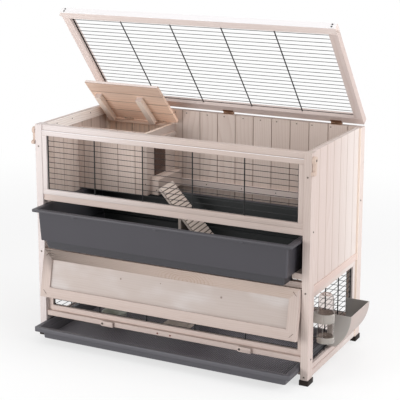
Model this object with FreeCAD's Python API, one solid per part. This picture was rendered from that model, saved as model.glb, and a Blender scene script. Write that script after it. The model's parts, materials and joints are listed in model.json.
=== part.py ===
import FreeCAD, Part
import math
import os

# Two-storey small animal hutch, in millimetres.
# X runs along the front to the right, Y to the back, Z up; the origin is on the floor under the middle.
# The modelled pose is the photographed one: both lids raised, drawer and tray pulled out, flap swung out.

# Carcass
body_width = 1150.0
body_depth = 540.0
post_top = 858.0
post_width = 30.0
post_depth = 44.0
edge_ease = 1.2
edge_ease_share = 0.2

# Foot caps
foot_wall = 3.0
foot_base = 4.0
foot_height = 20.0

# Boards and rails
board_thickness = 14.0
board_gap = 0.6
board_recess = 8.0
side_board_width = 69.5
back_board_width = 79.3
narrowest_board_share = 0.2
rail_thickness = 24.0
rail_recess = 6.0
side_rail_recess = 4.0
frame_thickness = 18.0
frame_stile = 20.0
frame_rail = 20.0

# Heights of the front members, from the floor
front_bottom_rail_low = 84.0
front_bottom_rail_height = 20.0
front_mid_rail_low = 356.0
front_mid_rail_height = 26.0
front_mid_rail_recess = 17.0
front_shelf_rail_low = 558.0
front_shelf_rail_height = 25.0
front_top_rail_height = 22.0
upper_frame_recess = 2.0
lower_frame_recess = 20.0

# Side and back members
storey_line = 362.0
mid_rail_height = 27.0
side_bottom_rail_height = 23.0
side_frame_stile = 23.0
side_frame_recess = 8.0
top_batten_height = 39.0
back_top_rail_height = 28.0
back_top_rail_thickness = 16.0
back_bottom_rail_low = 56.0
back_bottom_rail_height = 24.0
back_frame_recess = 4.0
back_batten_low = 545.0
back_batten_height = 30.0

# Wire panels: thick uprights with thin cross wires
upright_radius = 2.25
wire_radius = 1.1
mesh_pitch = 21.2
front_mesh_bays = 5
side_mesh_bays = 3

# Main lid, hinged at the back
lid_open_angle = 50.25
lid_rail = 33.0
lid_thickness = 28.0
lid_front_inset = 3.0
lid_back_setback = 11.0
lid_rest_gap = 3.0
lid_hinge_inset = 6.0
lid_hinge_spacing = 462.0

# Hinges
hinge_width = 46.0
hinge_leaf = 1.4
hinge_leaf_depth = 13.0
knuckle_radius = 3.5
hinge_pin_radius = 1.6
running_fit = 0.05
knuckle_gap = 0.4

# Nest box
nest_length = 311.0
nest_depth = 236.0
nest_low = 549.0
nest_top = 801.0
nest_wall = 15.0
nest_floor_thickness = 12.0
nest_rail_depth = 28.0
nest_rail_height = 12.0
door_setback = 58.0
door_width = 88.0
door_low = 612.0
door_height = 146.0
door_thickness = 4.0
doorway_front_margin = 6.0
doorway_width = 68.0
doorway_height = 128.0
sill_reach = 37.0
sill_lead = 32.0
rail_reach = 14.0
rail_height = 14.0
rail_lip = 8.0
rail_lip_thickness = 4.0

# Nest lid
nest_lid_open_angle = 44.5
nest_lid_thickness = 12.0
nest_lid_boards = 4
nest_lid_overhang_front = 28.0
nest_lid_overhang_right = 24.0
nest_lid_hinge_inset = 18.0
nest_lid_back_gap = 5.0
nest_lid_batten_width = 26.0
nest_lid_batten_depth = 22.0
nest_lid_batten_start = 74.0
nest_lid_batten_end_gap = 6.0
nest_lid_batten_shares = (0.105, 0.676)
nest_lid_side_gap = 0.9
nest_hinge_width = 40.0
nest_hinge_shares = (0.31, 0.78)

# Litter drawer on its runners
drawer_pull = 88.0
drawer_rim_top = 543.0
drawer_step = 418.0
drawer_low = 384.0
drawer_back_gap = 8.0
drawer_side_gap = 3.0
drawer_flange = 20.0
drawer_flange_front = 14.0
drawer_draft = 6.0
drawer_step_in = 13.0
drawer_wall = 4.0
drawer_lip = 10.0
drawer_corner = 8.0
runner_width = 40.0
runner_height = 22.0
slide_gap = 0.3

# Ramp that stands in the drawer
ramp_stand_off = 92.0
ramp_forward = 10.0
ramp_head_z = 608.0
ramp_slope = 49.0
ramp_twist = 6.0
ramp_width = 128.0
ramp_thickness = 10.0
ramp_groove_pitch = 16.0
ramp_groove_depth = 2.0
ramp_groove_width = 4.0
ramp_prop_thickness = 12.0
ramp_prop_run = 70.0
ramp_prop_width = 100.0

# Base tray on its runners
tray_pull = 99.0
tray_low = 18.0
tray_rim_top = 66.0
tray_rim_height = 17.0
tray_rim_width = 14.0
tray_step = 44.0
tray_step_in = 7.0
tray_draft = 3.0
tray_wall = 4.0
tray_back_gap = 11.0
tray_runner_width = 28.0

# Feed bowl in the tray
bowl_from_end = 192.0
bowl_from_front = 292.7
bowl_top_radius = 52.0
bowl_base_radius = 42.0
bowl_height = 46.0
bowl_wall = 4.0

# Centre brace under the upper storey's floor
brace_middle_x = -17.0
brace_width = 100.0
brace_low = 84.0
brace_height = 18.0
brace_screw_spacing = 55.0

# Front flap on two pins
flap_open_angle = 11.5
flap_top = 362.0
flap_height = 190.0
flap_member = 40.0
flap_thickness = 18.0
flap_front_proud = 6.0
flap_side_gap = 2.0
flap_panel_thickness = 8.0
flap_panel_recess = 7.0
flap_pin_drop = 8.0
flap_pin_inset = 6.0
flap_pin_radius = 3.0
flap_pin_reach = 20.0

# Turn-buttons on the front bottom rail
button_left_x = -283.0
button_right_x = 304.0
button_pivot_z = 95.0
button_length = 46.0
button_height = 20.0
button_thickness = 10.0

# Lid catches on the posts' outer sides
catch_pivot_inset = 11.0
catch_pivot_drop = 25.0
catch_radius = 14.0
catch_arm = 46.0
catch_arm_width = 15.0
catch_toe = 13.0
catch_thickness = 12.0
peg_radius = 4.0
peg_length = 10.0
peg_play = 0.5
peg_drop = 1.5

# Screws
screw_head_radius = 3.4
screw_head_height = 1.2
screw_radius = 1.8
screw_length = 20.0
pivot_head_radius = 4.5
pivot_radius = 2.0
screw_fit = 0.1
post_upper_screw_z = 772.0
post_screw_share = 0.6
lid_screw_share = 0.3

# Bottle and holder on the right window
bottle_setback = 38.0
bottle_radius = 28.5
bottle_low = 156.0
bottle_top = 334.0
bottle_wall = 1.8
bottle_shoulder = 22.0
bottle_crown_radius = 8.0
holder_gap = 1.0
holder_wall = 2.6
holder_low = 150.0
holder_cup_height = 22.0
holder_band_low = 226.0
holder_top = 260.0
holder_clearance = 1.0
holder_strut = 10.0
bracket_width = 34.0

# Hay hopper on the right window
hopper_back_gap = 48.0
hopper_length = 200.0
hopper_low = 75.0
hopper_top = 202.0
hopper_out = 79.0
hopper_foot = 18.0
hopper_wall = 3.0
hopper_bend_out = 0.62
hopper_bend_up = 0.36

# Derived places
half_w = body_width / 2
half_d = body_depth / 2
inner_x = half_w - post_width
inner_y = half_d - post_depth
board_outer_x = half_w - board_recess
board_inner_x = board_outer_x - board_thickness
side_rail_outer_x = half_w - side_rail_recess
side_rail_inner_x = side_rail_outer_x - rail_thickness
back_board_outer_y = half_d - back_top_rail_thickness
back_board_inner_y = back_board_outer_y - board_thickness
front_rail_y = -half_d + rail_recess
front_rail_back_y = front_rail_y + rail_thickness
mid_rail_low = storey_line - mid_rail_height
nest_right = -inner_x + nest_length
nest_front_y = back_board_inner_y - nest_depth

V = FreeCAD.Vector
X_AXIS = V(1, 0, 0)
Y_AXIS = V(0, 1, 0)
Z_AXIS = V(0, 0, 1)
SIDES = {"left": -1, "right": 1}


def save(name, shapes):
    shape = shapes if isinstance(shapes, Part.Shape) else Part.makeCompound(shapes)
    shape.exportStep("parts/" + name + ".step")


def box(x0, x1, y0, y1, z0, z1):
    return Part.makeBox(abs(x1 - x0), abs(y1 - y0), abs(z1 - z0), V(min(x0, x1), min(y0, y1), min(z0, z1)))


def plank(x0, x1, y0, y1, z0, z1):
    """A sawn wooden member with its long edges eased."""
    solid = box(x0, x1, y0, y1, z0, z1)
    bounds = solid.BoundBox
    length = max(bounds.XLength, bounds.YLength, bounds.ZLength)
    ease = min(edge_ease, edge_ease_share * min(bounds.XLength, bounds.YLength, bounds.ZLength))
    long_edges = [edge for edge in solid.Edges if abs(edge.Length - length) < 1e-6]
    return solid.makeChamfer(ease, long_edges)


def cylinder(radius, start, direction, length):
    return Part.makeCylinder(radius, length, start, direction)


def mirrored(shape):
    return shape.mirror(V(0, 0, 0), X_AXIS)


def turned(shape, axis_y, axis_z, degrees):
    """A copy turned about a line along X."""
    copy = shape.copy()
    copy.rotate(V(0, axis_y, axis_z), X_AXIS, degrees)
    return copy


def rounded_wire(x0, x1, y0, y1, z, radius):
    """A rectangle with round corners, flat at height z."""
    r = radius
    s = r * (1 - math.sqrt(0.5))
    corners = [
        (V(x1, y0 + r, z), V(x1, y1 - r, z), V(x1 - s, y1 - s, z)),
        (V(x1 - r, y1, z), V(x0 + r, y1, z), V(x0 + s, y1 - s, z)),
        (V(x0, y1 - r, z), V(x0, y0 + r, z), V(x0 + s, y0 + s, z)),
        (V(x0 + r, y0, z), V(x1 - r, y0, z), V(x1 - s, y0 + s, z)),
    ]
    edges = []
    for i, (start, end, bend) in enumerate(corners):
        edges.append(Part.LineSegment(start, end).toShape())
        edges.append(Part.Arc(end, bend, corners[(i + 1) % 4][0]).toShape())
    return Part.Wire(edges)


def tapered(low, high, radius):
    """A straight-sided block between two rectangles given as (x0, x1, y0, y1, z)."""
    return Part.makeLoft([rounded_wire(*low, radius), rounded_wire(*high, radius)], True, True)


def inset(rect, amount, z):
    x0, x1, y0, y1 = rect
    return (x0 + amount, x1 - amount, y0 + amount, y1 - amount, z)


def board_joints(start, end, width, middle):
    """Board edges from start to end, with full boards laid out from a joint pattern's middle."""
    first = math.ceil((start - middle) / width - 0.5)
    joints = [start]
    place = middle + (first + 0.5) * width
    while place < end - narrowest_board_share * width:
        if place > start + narrowest_board_share * width:
            joints.append(place)
        place += width
    return joints + [end]


def wire_panel(length, height, bays, wire_side):
    """Wires of a flat panel, centred on X, from Y 0 up: uprights along Y, thin wires along X beside them."""
    rows = max(1, round(height / mesh_pitch))
    bay_step = (length - 2 * upright_radius) / bays
    row_step = (height - 2 * wire_radius) / rows
    wire_z = wire_side * (upright_radius + wire_radius)
    wires = [cylinder(upright_radius, V(bay * bay_step + upright_radius - length / 2, 0, 0), Y_AXIS, height)
             for bay in range(bays + 1)]
    wires += [cylinder(wire_radius, V(-length / 2, row * row_step + wire_radius, wire_z), X_AXIS, length)
              for row in range(rows + 1)]
    return wires


def upright_panel(length, height, bays, low, middle_y):
    """A wire panel standing along X, its uprights at middle_y and its thin wires behind them."""
    panel = Part.makeCompound(wire_panel(length, height, bays, -1))
    panel.rotate(V(0, 0, 0), X_AXIS, 90)
    panel.translate(V(0, middle_y, low))
    return panel


def frame_along_x(y0, z0, z1, half_length, stile, rail):
    """Two rails with two stiles between them, standing along X; returns the members."""
    y1 = y0 + frame_thickness
    return [
        plank(-half_length, half_length, y0, y1, z0, z0 + rail),
        plank(-half_length, half_length, y0, y1, z1 - rail, z1),
        plank(-half_length, -half_length + stile, y0, y1, z0 + rail, z1 - rail),
        plank(half_length - stile, half_length, y0, y1, z0 + rail, z1 - rail),
    ]


def screw(place, direction, head_radius, radius, length):
    """A screw whose head stands on the surface at place; direction points into the wood."""
    head = cylinder(head_radius, place - direction * screw_head_height, direction, screw_head_height)
    return head.fuse(cylinder(radius, place, direction, length)).removeSplitter()


def screw_hole(place, direction, radius, length):
    return cylinder(radius + screw_fit, place, direction, length + screw_fit)


os.makedirs("parts", exist_ok=True)

# Screw places: front and side faces of each post, and the front bottom rail
screw_holes = {}
screws = []
side_bottom_rail_low = foot_height
front_screw_heights = [post_upper_screw_z, mid_rail_low + mid_rail_height / 2,
                       side_bottom_rail_low + side_bottom_rail_height / 2]
side_screw_heights = [front_shelf_rail_low + front_shelf_rail_height / 2,
                      front_bottom_rail_low + front_bottom_rail_height / 2]
for depth_name, depth_sign in (("front", -1), ("back", 1)):
    for side, sign in SIDES.items():
        places = [(V(sign * (half_w - post_width / 2), depth_sign * half_d, z), V(0, -depth_sign, 0))
                  for z in front_screw_heights]
        places += [(V(sign * half_w, depth_sign * (half_d - post_depth * post_screw_share), z), V(-sign, 0, 0))
                   for z in side_screw_heights]
        screw_holes[depth_name, side] = [screw_hole(p, d, screw_radius, screw_length) for p, d in places]
        screws += [screw(p, d, screw_head_radius, screw_radius, screw_length) for p, d in places]

# Flap pins through the flap's ends into the front posts
flap_pin_y = -half_d + flap_pin_inset
flap_pin_z = flap_top - flap_pin_drop
flap_half = inner_x - flap_side_gap
flap_pins = []
flap_pin_bores = []
for sign in SIDES.values():
    start = V(sign * (flap_half - flap_pin_reach), flap_pin_y, flap_pin_z)
    pin_length = flap_pin_reach + flap_side_gap + flap_pin_reach
    flap_pins.append(cylinder(flap_pin_radius, start, V(sign, 0, 0), pin_length))
    flap_pin_bores.append(cylinder(flap_pin_radius + running_fit, start, V(sign, 0, 0), pin_length))

# Catch pivots on the front posts' outer sides
catch_y = -half_d + catch_pivot_inset
catch_z = post_top - catch_pivot_drop
catch_low_x = half_w + slide_gap
pivot_length = screw_length
for side, sign in SIDES.items():
    face_x = sign * (catch_low_x + catch_thickness + slide_gap)
    length = pivot_length + catch_thickness + 2 * slide_gap
    place = V(face_x, catch_y, catch_z)
    inward = V(-sign, 0, 0)
    screws.append(screw(place, inward, pivot_head_radius, pivot_radius, length))
    screw_holes["front", side].append(screw_hole(place, inward, pivot_radius, length))

# Posts
for depth_name, depth_sign in (("front", -1), ("back", 1)):
    for side, sign in SIDES.items():
        post = plank(sign * inner_x, sign * half_w, depth_sign * inner_y, depth_sign * half_d,
                     foot_base, post_top)
        cuts = screw_holes[depth_name, side]
        if depth_name == "front":
            cuts = cuts + flap_pin_bores
        save("post_" + depth_name + "_" + side, post.cut(Part.makeCompound(cuts)))

# Foot caps
caps = []
for sign_x in (-1, 1):
    for sign_y in (-1, 1):
        outer = box(sign_x * (inner_x - foot_wall), sign_x * (half_w + foot_wall),
                    sign_y * (inner_y - foot_wall), sign_y * (half_d + foot_wall), 0, foot_height)
        pocket = box(sign_x * inner_x, sign_x * half_w, sign_y * inner_y, sign_y * half_d,
                     foot_base, foot_height)
        caps.append(outer.cut(pocket))
save("foot_caps", caps)

# Wall boards
for side, sign in SIDES.items():
    joints = board_joints(-inner_y, inner_y, side_board_width, 0)
    boards = [plank(sign * board_inner_x, sign * board_outer_x, y0 + board_gap / 2, y1 - board_gap / 2,
                    storey_line, post_top) for y0, y1 in zip(joints, joints[1:])]
    save(side + "_wall_boards", boards)
joints = board_joints(-inner_x, inner_x, back_board_width, 0)
save("back_wall_boards", [plank(x0 + board_gap / 2, x1 - board_gap / 2, back_board_inner_y, back_board_outer_y,
                                storey_line, post_top) for x0, x1 in zip(joints, joints[1:])])

# Side rails and battens
save("side_top_battens", [plank(s * inner_x, s * board_inner_x, -inner_y, inner_y,
                                post_top - top_batten_height, post_top) for s in SIDES.values()])
save("side_mid_rails", [plank(s * side_rail_inner_x, s * side_rail_outer_x, -inner_y, inner_y,
                              mid_rail_low, storey_line) for s in SIDES.values()])
save("side_bottom_rails", [plank(s * side_rail_inner_x, s * side_rail_outer_x, -inner_y, inner_y,
                                 side_bottom_rail_low, side_bottom_rail_low + side_bottom_rail_height)
                           for s in SIDES.values()])

# Back rails
back_rail_inner_y = half_d - rail_thickness
back_bottom_rail_top = back_bottom_rail_low + back_bottom_rail_height
save("back_top_rail", plank(-inner_x, inner_x, back_board_outer_y, half_d,
                            post_top - back_top_rail_height, post_top))
save("back_rails", [plank(-inner_x, inner_x, back_rail_inner_y, half_d, mid_rail_low, storey_line),
                    plank(-inner_x, inner_x, back_rail_inner_y, half_d,
                          back_bottom_rail_low, back_bottom_rail_top)])
save("back_inner_batten", plank(nest_right, inner_x, inner_y, back_board_inner_y,
                                back_batten_low, back_batten_low + back_batten_height))

# Front rails, with the turn-button and brace screws in the bottom one
front_top_rail_low = post_top - front_top_rail_height
front_shelf_rail_top = front_shelf_rail_low + front_shelf_rail_height
front_mid_rail_top = front_mid_rail_low + front_mid_rail_height
front_bottom_rail_top = front_bottom_rail_low + front_bottom_rail_height
save("front_top_rail", plank(-inner_x, inner_x, front_rail_y, front_rail_back_y, front_top_rail_low, post_top))
save("front_shelf_rail", plank(-inner_x, inner_x, front_rail_y, front_rail_back_y,
                               front_shelf_rail_low, front_shelf_rail_top))
mid_rail_y = -half_d + front_mid_rail_recess
save("front_mid_rail", plank(-inner_x, inner_x, mid_rail_y, mid_rail_y + rail_thickness,
                             front_mid_rail_low, front_mid_rail_top))
bottom_rail = plank(-inner_x, inner_x, front_rail_y, front_rail_back_y,
                    front_bottom_rail_low, front_bottom_rail_top)
button_back_y = front_rail_y - slide_gap
button_front_y = button_back_y - button_thickness
for pivot_x in (button_left_x, button_right_x):
    place = V(pivot_x, button_front_y - slide_gap, button_pivot_z)
    length = screw_length + button_thickness + slide_gap
    screws.append(screw(place, Y_AXIS, pivot_head_radius, pivot_radius, length))
    bottom_rail = bottom_rail.cut(screw_hole(place, Y_AXIS, pivot_radius, length))
for sign in (-1, 1):
    place = V(brace_middle_x + sign * brace_screw_spacing / 2, front_rail_y, brace_low + brace_height / 2)
    screws.append(screw(place, Y_AXIS, screw_head_radius, screw_radius, screw_length))
    bottom_rail = bottom_rail.cut(screw_hole(place, Y_AXIS, screw_radius, screw_length))
save("front_bottom_rail", bottom_rail)
save("wood_screws", screws)

# Front wire panels
panel_half = inner_x - frame_stile
upper_y = -half_d + upper_frame_recess
save("upper_front_frame", frame_along_x(upper_y, front_shelf_rail_top, front_top_rail_low, inner_x,
                                        frame_stile, frame_rail))
upper_low = front_shelf_rail_top + frame_rail
save("upper_front_mesh", upright_panel(2 * panel_half, front_top_rail_low - frame_rail - upper_low,
                                       front_mesh_bays, upper_low, upper_y + frame_thickness / 2))
lower_y = -half_d + lower_frame_recess
save("lower_front_frame", frame_along_x(lower_y, front_bottom_rail_top, front_mid_rail_low, inner_x,
                                        frame_stile, frame_rail))
lower_low = front_bottom_rail_top + frame_rail
save("lower_front_mesh", upright_panel(2 * panel_half, front_mid_rail_low - frame_rail - lower_low,
                                       front_mesh_bays, lower_low, lower_y + frame_thickness / 2))

# Back wire panel
back_y = half_d - back_frame_recess - frame_thickness
save("back_window_frame", frame_along_x(back_y, back_bottom_rail_top, mid_rail_low, inner_x,
                                        frame_stile, frame_rail))
back_low = back_bottom_rail_top + frame_rail
save("back_window_mesh", upright_panel(2 * panel_half, mid_rail_low - frame_rail - back_low,
                                       front_mesh_bays, back_low, back_y + frame_thickness / 2))

# Side wire panels
side_low = side_bottom_rail_low + side_bottom_rail_height
side_outer_x = half_w - side_frame_recess
side_inner_x = side_outer_x - frame_thickness
side_mesh_x = side_inner_x + frame_thickness / 2
side_half = inner_y - side_frame_stile
for side, sign in SIDES.items():
    xs = (sign * side_inner_x, sign * side_outer_x)
    members = [
        plank(*xs, -inner_y, inner_y, side_low, side_low + frame_rail),
        plank(*xs, -inner_y, inner_y, mid_rail_low - frame_rail, mid_rail_low),
        plank(*xs, -inner_y, -side_half, side_low + frame_rail, mid_rail_low - frame_rail),
        plank(*xs, side_half, inner_y, side_low + frame_rail, mid_rail_low - frame_rail),
    ]
    save(side + "_window_frame", members)
    panel = upright_panel(2 * side_half, mid_rail_low - side_low - 2 * frame_rail, side_mesh_bays,
                          side_low + frame_rail, 0)
    panel.rotate(V(0, 0, 0), Z_AXIS, sign * 90)
    panel.translate(V(sign * side_mesh_x, 0, 0))
    save(side + "_window_mesh", panel)

# Runners and brace
runner_top = drawer_step - slide_gap
save("drawer_runners", [plank(s * (inner_x - runner_width), s * inner_x, front_rail_y, back_board_inner_y,
                              runner_top - runner_height, runner_top) for s in SIDES.values()])
save("tray_runners", [plank(s * (side_rail_inner_x - tray_runner_width), s * side_rail_inner_x,
                            -inner_y, inner_y, side_bottom_rail_low, tray_step - slide_gap)
                      for s in SIDES.values()])
save("centre_brace", plank(brace_middle_x - brace_width / 2, brace_middle_x + brace_width / 2,
                           front_rail_back_y, back_y, brace_low, brace_low + brace_height))

# Nest box
nest_inner_x = nest_right - nest_wall
nest_front_back_y = nest_front_y + board_thickness
joints = board_joints(-board_inner_x, nest_inner_x, back_board_width, nest_inner_x)
save("nest_front", [plank(x0 + board_gap / 2, x1 - board_gap / 2, nest_front_y, nest_front_back_y,
                          nest_low, nest_top) for x0, x1 in zip(joints, joints[1:])])
door_front_y = nest_front_y + door_setback
door_back_y = door_front_y + door_width
doorway_y = door_front_y + doorway_front_margin
doorway = box(nest_inner_x, nest_right, doorway_y, doorway_y + doorway_width,
              door_low, door_low + doorway_height)
save("nest_side_wall", plank(nest_inner_x, nest_right, nest_front_y, back_board_inner_y,
                             nest_low, nest_top).cut(doorway))
save("nest_floor", box(-inner_x, nest_inner_x, nest_front_back_y, back_board_inner_y,
                       nest_low, nest_low + nest_floor_thickness))
save("nest_back_rail", plank(-inner_x, nest_inner_x, back_board_inner_y - nest_rail_depth, back_board_inner_y,
                             nest_top - nest_rail_height, nest_top))

# Nest door, sliding to the back between a sill and a top rail that both have a lip
door_x = nest_right + slide_gap
lip_x = door_x + door_thickness + slide_gap
door_top = door_low + door_height
save("nest_door", box(door_x, door_x + door_thickness, door_front_y, door_back_y, door_low + slide_gap, door_top))
rail_front_y = door_front_y - sill_lead
sill = box(nest_right, nest_right + sill_reach, rail_front_y, inner_y, nest_low, door_low)
sill_lip = box(lip_x, lip_x + rail_lip_thickness, rail_front_y, inner_y, door_low, door_low + rail_lip)
rail_low = door_top + slide_gap
door_rail = box(nest_right, nest_right + rail_reach, rail_front_y, inner_y, rail_low, rail_low + rail_height)
door_rail_lip = box(lip_x, lip_x + rail_lip_thickness, rail_front_y, inner_y, rail_low - rail_lip, rail_low)
save("nest_door_rails", [sill.fuse(sill_lip).removeSplitter(), door_rail.fuse(door_rail_lip).removeSplitter()])


def hinge(middle_x, width, axis_y, axis_z, fixed_plate, moving_plate):
    """Fixed leaf, moving leaf (closed) and pin; each plate is (far_y, z0, z1)."""
    third = width / 3
    spans = [(middle_x - width / 2 + i * third + knuckle_gap / 2,
              middle_x - width / 2 + (i + 1) * third - knuckle_gap / 2) for i in range(3)]
    bore = cylinder(hinge_pin_radius + running_fit, V(middle_x - width / 2, axis_y, axis_z), X_AXIS, width)
    leaves = []
    for own_spans, (far_y, z0, z1) in (((spans[0], spans[2]), fixed_plate), ((spans[1],), moving_plate)):
        away = 1 if far_y > axis_y else -1
        near_y = axis_y + away * (knuckle_radius + knuckle_gap)
        leaf = box(spans[0][0], spans[2][1], far_y, near_y, z0, z1)
        for x0, x1 in own_spans:
            leaf = leaf.fuse(box(x0, x1, near_y, axis_y, z0, z1))
            leaf = leaf.fuse(cylinder(knuckle_radius, V(x0, axis_y, axis_z), X_AXIS, x1 - x0))
        leaves.append(leaf.cut(bore).removeSplitter())
    pin = cylinder(hinge_pin_radius, V(spans[0][0], axis_y, axis_z), X_AXIS, spans[2][1] - spans[0][0])
    return leaves[0], leaves[1], pin


# Lid hinges on the back rail, and nest lid hinges on the nest's back rail
lid_axis_y = half_d - lid_hinge_inset
lid_axis_z = post_top + knuckle_radius + hinge_leaf / 2
lid_low = post_top + lid_rest_gap
lid_leaf_far_y = lid_axis_y - knuckle_radius - hinge_leaf_depth
fixed_leaves = []
pins = list(flap_pins)
lid_leaves = []
for middle_x in (-lid_hinge_spacing, 0, lid_hinge_spacing):
    fixed, moving, pin = hinge(middle_x, hinge_width, lid_axis_y, lid_axis_z,
                               (lid_leaf_far_y, post_top, post_top + hinge_leaf),
                               (lid_leaf_far_y, lid_low - hinge_leaf, lid_low))
    fixed_leaves.append(fixed)
    lid_leaves.append(turned(moving, lid_axis_y, lid_axis_z, -lid_open_angle))
    pins.append(pin)

nest_axis_y = back_board_inner_y - nest_lid_hinge_inset
nest_axis_z = nest_top + knuckle_radius + hinge_leaf / 2
nest_lid_low = nest_top + lid_rest_gap
nest_lid_x0 = -inner_x + nest_lid_side_gap
nest_lid_x1 = nest_right + nest_lid_overhang_right
nest_lid_leaves = []
for share in nest_hinge_shares:
    middle_x = nest_lid_x0 + share * (nest_lid_x1 - nest_lid_x0)
    fixed, moving, pin = hinge(middle_x, nest_hinge_width, nest_axis_y, nest_axis_z,
                               (back_board_inner_y, nest_top, nest_top + hinge_leaf),
                               (nest_axis_y - knuckle_radius - hinge_leaf_depth,
                                nest_lid_low - hinge_leaf, nest_lid_low))
    fixed_leaves.append(fixed)
    nest_lid_leaves.append(turned(moving, nest_axis_y, nest_axis_z, -nest_lid_open_angle))
    pins.append(pin)
save("hinge_fixed_leaves", fixed_leaves)
save("hinge_pins", pins)
save("lid_hinge_leaves", lid_leaves)
save("nest_lid_hinge_leaves", nest_lid_leaves)

# Main lid: frame, wire panel, catch pegs and frame screws, modelled closed and then raised
lid_front_y = -half_d + lid_front_inset
lid_back_y = half_d - lid_back_setback
lid_top = lid_low + lid_thickness
lid_members = [plank(-half_w, half_w, lid_front_y, lid_front_y + lid_rail, lid_low, lid_top),
               plank(-half_w, half_w, lid_back_y - lid_rail, lid_back_y, lid_low, lid_top)]
lid_members += [plank(s * (half_w - lid_rail), s * half_w, lid_front_y + lid_rail, lid_back_y - lid_rail,
                      lid_low, lid_top) for s in SIDES.values()]
lid_wires = wire_panel(2 * (half_w - lid_rail), lid_back_y - lid_front_y - 2 * lid_rail, front_mesh_bays, 1)
for wire in lid_wires:
    wire.translate(V(0, lid_front_y + lid_rail, (lid_low + lid_top) / 2))
lid_fasteners = []
for sign in SIDES.values():
    peg_place = V(sign * half_w, catch_y + catch_arm_width / 2 + peg_radius + peg_play,
                  catch_z + catch_arm - catch_arm_width / 2 - peg_radius - peg_drop)
    lid_fasteners.append(cylinder(peg_radius, peg_place, V(sign, 0, 0), peg_length))
    for share in (lid_screw_share, 1 - lid_screw_share):
        place = V(sign * (half_w - lid_rail / 2), lid_front_y, lid_low + share * lid_thickness)
        lid_fasteners.append(cylinder(screw_head_radius, place, V(0, -1, 0), screw_head_height))


def raised(shapes):
    return [turned(shape, lid_axis_y, lid_axis_z, -lid_open_angle) for shape in shapes]


save("lid_frame", raised(lid_members))
save("lid_mesh", raised(lid_wires))
save("lid_fasteners", raised(lid_fasteners))

# Nest lid: boards along X with two battens underneath, modelled closed and then raised
nest_lid_front_y = nest_front_y - nest_lid_overhang_front
nest_lid_back_y = nest_axis_y - nest_lid_back_gap
nest_board = (nest_lid_back_y - nest_lid_front_y) / nest_lid_boards
lid_boards = []
for i in range(nest_lid_boards):
    y0 = nest_lid_front_y + i * nest_board
    lid_boards.append(plank(nest_lid_x0, nest_lid_x1, y0 + board_gap / 2, y0 + nest_board - board_gap / 2,
                            nest_lid_low, nest_lid_low + nest_lid_thickness))
lid_battens = []
for share in nest_lid_batten_shares:
    middle_x = nest_lid_x0 + share * (nest_lid_x1 - nest_lid_x0)
    lid_battens.append(plank(middle_x - nest_lid_batten_width / 2, middle_x + nest_lid_batten_width / 2,
                             nest_lid_front_y + nest_lid_batten_start, nest_lid_back_y - nest_lid_batten_end_gap,
                             nest_lid_low - nest_lid_batten_depth, nest_lid_low))
for name, shapes in (("nest_lid_boards", lid_boards), ("nest_lid_battens", lid_battens)):
    save(name, [turned(shape, nest_axis_y, nest_axis_z, -nest_lid_open_angle) for shape in shapes])

# Litter drawer, modelled closed and then pulled out
rim = (-inner_x + drawer_side_gap, inner_x - drawer_side_gap, -half_d, back_board_inner_y - drawer_back_gap)
mouth = (rim[0] + drawer_flange, rim[1] - drawer_flange, rim[2] + drawer_flange_front,
         rim[3] - drawer_flange_front)
wall = drawer_wall
step_out = drawer_draft + drawer_step_in
bottom_out = step_out + drawer_draft
drawer = tapered(inset(mouth, drawer_draft, drawer_step), inset(mouth, 0, drawer_rim_top), drawer_corner)
drawer = drawer.fuse(tapered(inset(mouth, bottom_out, drawer_low), inset(mouth, step_out, drawer_step),
                             drawer_corner))
flange = tapered(inset(rim, 0, drawer_rim_top - drawer_lip), inset(rim, 0, drawer_rim_top), drawer_corner)
flange = flange.cut(tapered(inset(rim, wall, drawer_rim_top - drawer_lip),
                            inset(rim, wall, drawer_rim_top - wall), drawer_corner - wall))
drawer = drawer.fuse(flange)
hollow = tapered(inset(mouth, drawer_draft + wall, drawer_step + wall),
                 inset(mouth, wall, drawer_rim_top), drawer_corner - wall)
hollow = hollow.fuse(tapered(inset(mouth, bottom_out + wall, drawer_low + wall),
                             inset(mouth, step_out + wall, drawer_step + wall), drawer_corner - wall))
drawer = drawer.cut(hollow).removeSplitter()
drawer.translate(V(0, -drawer_pull, 0))
save("litter_drawer", drawer)

# Ramp: built along +X from its head, with its grooved face up, then tipped, twisted and set on the floor
drawer_floor = drawer_low + drawer_wall
ramp_fall = ramp_head_z - drawer_floor
slope = math.radians(ramp_slope)
ramp_length = (ramp_fall - ramp_thickness * math.cos(slope)) / math.sin(slope)
ramp_board = box(0, ramp_length, -ramp_width / 2, ramp_width / 2, -ramp_thickness, 0)
groove_count = int(ramp_length / ramp_groove_pitch) - 1
grooves = [box((i + 1) * ramp_groove_pitch, (i + 1) * ramp_groove_pitch + ramp_groove_width,
               -ramp_width / 2, ramp_width / 2, -ramp_groove_depth, 0) for i in range(groove_count)]
ramp_board = ramp_board.cut(Part.makeCompound(grooves))
ramp_board.rotate(V(0, 0, 0), Y_AXIS, ramp_slope)
prop_top = -ramp_prop_run * math.tan(slope) - ramp_thickness / math.cos(slope)
prop_face = [V(ramp_prop_run, 0, -ramp_fall), V(ramp_prop_run + ramp_prop_thickness, 0, -ramp_fall),
             V(ramp_prop_run + ramp_prop_thickness, 0, prop_top - ramp_prop_thickness * math.tan(slope)),
             V(ramp_prop_run, 0, prop_top)]
prop = Part.Face(Part.makePolygon(prop_face + prop_face[:1])).extrude(V(0, ramp_prop_width, 0))
prop.translate(V(0, -ramp_prop_width / 2, 0))
ramp = []
for shape in (ramp_board, prop):
    shape.rotate(V(0, 0, 0), Z_AXIS, ramp_twist)
    shape.translate(V(nest_right + ramp_stand_off, nest_front_y - ramp_forward, ramp_head_z))
    ramp.append(shape)
save("ramp", ramp)

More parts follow.
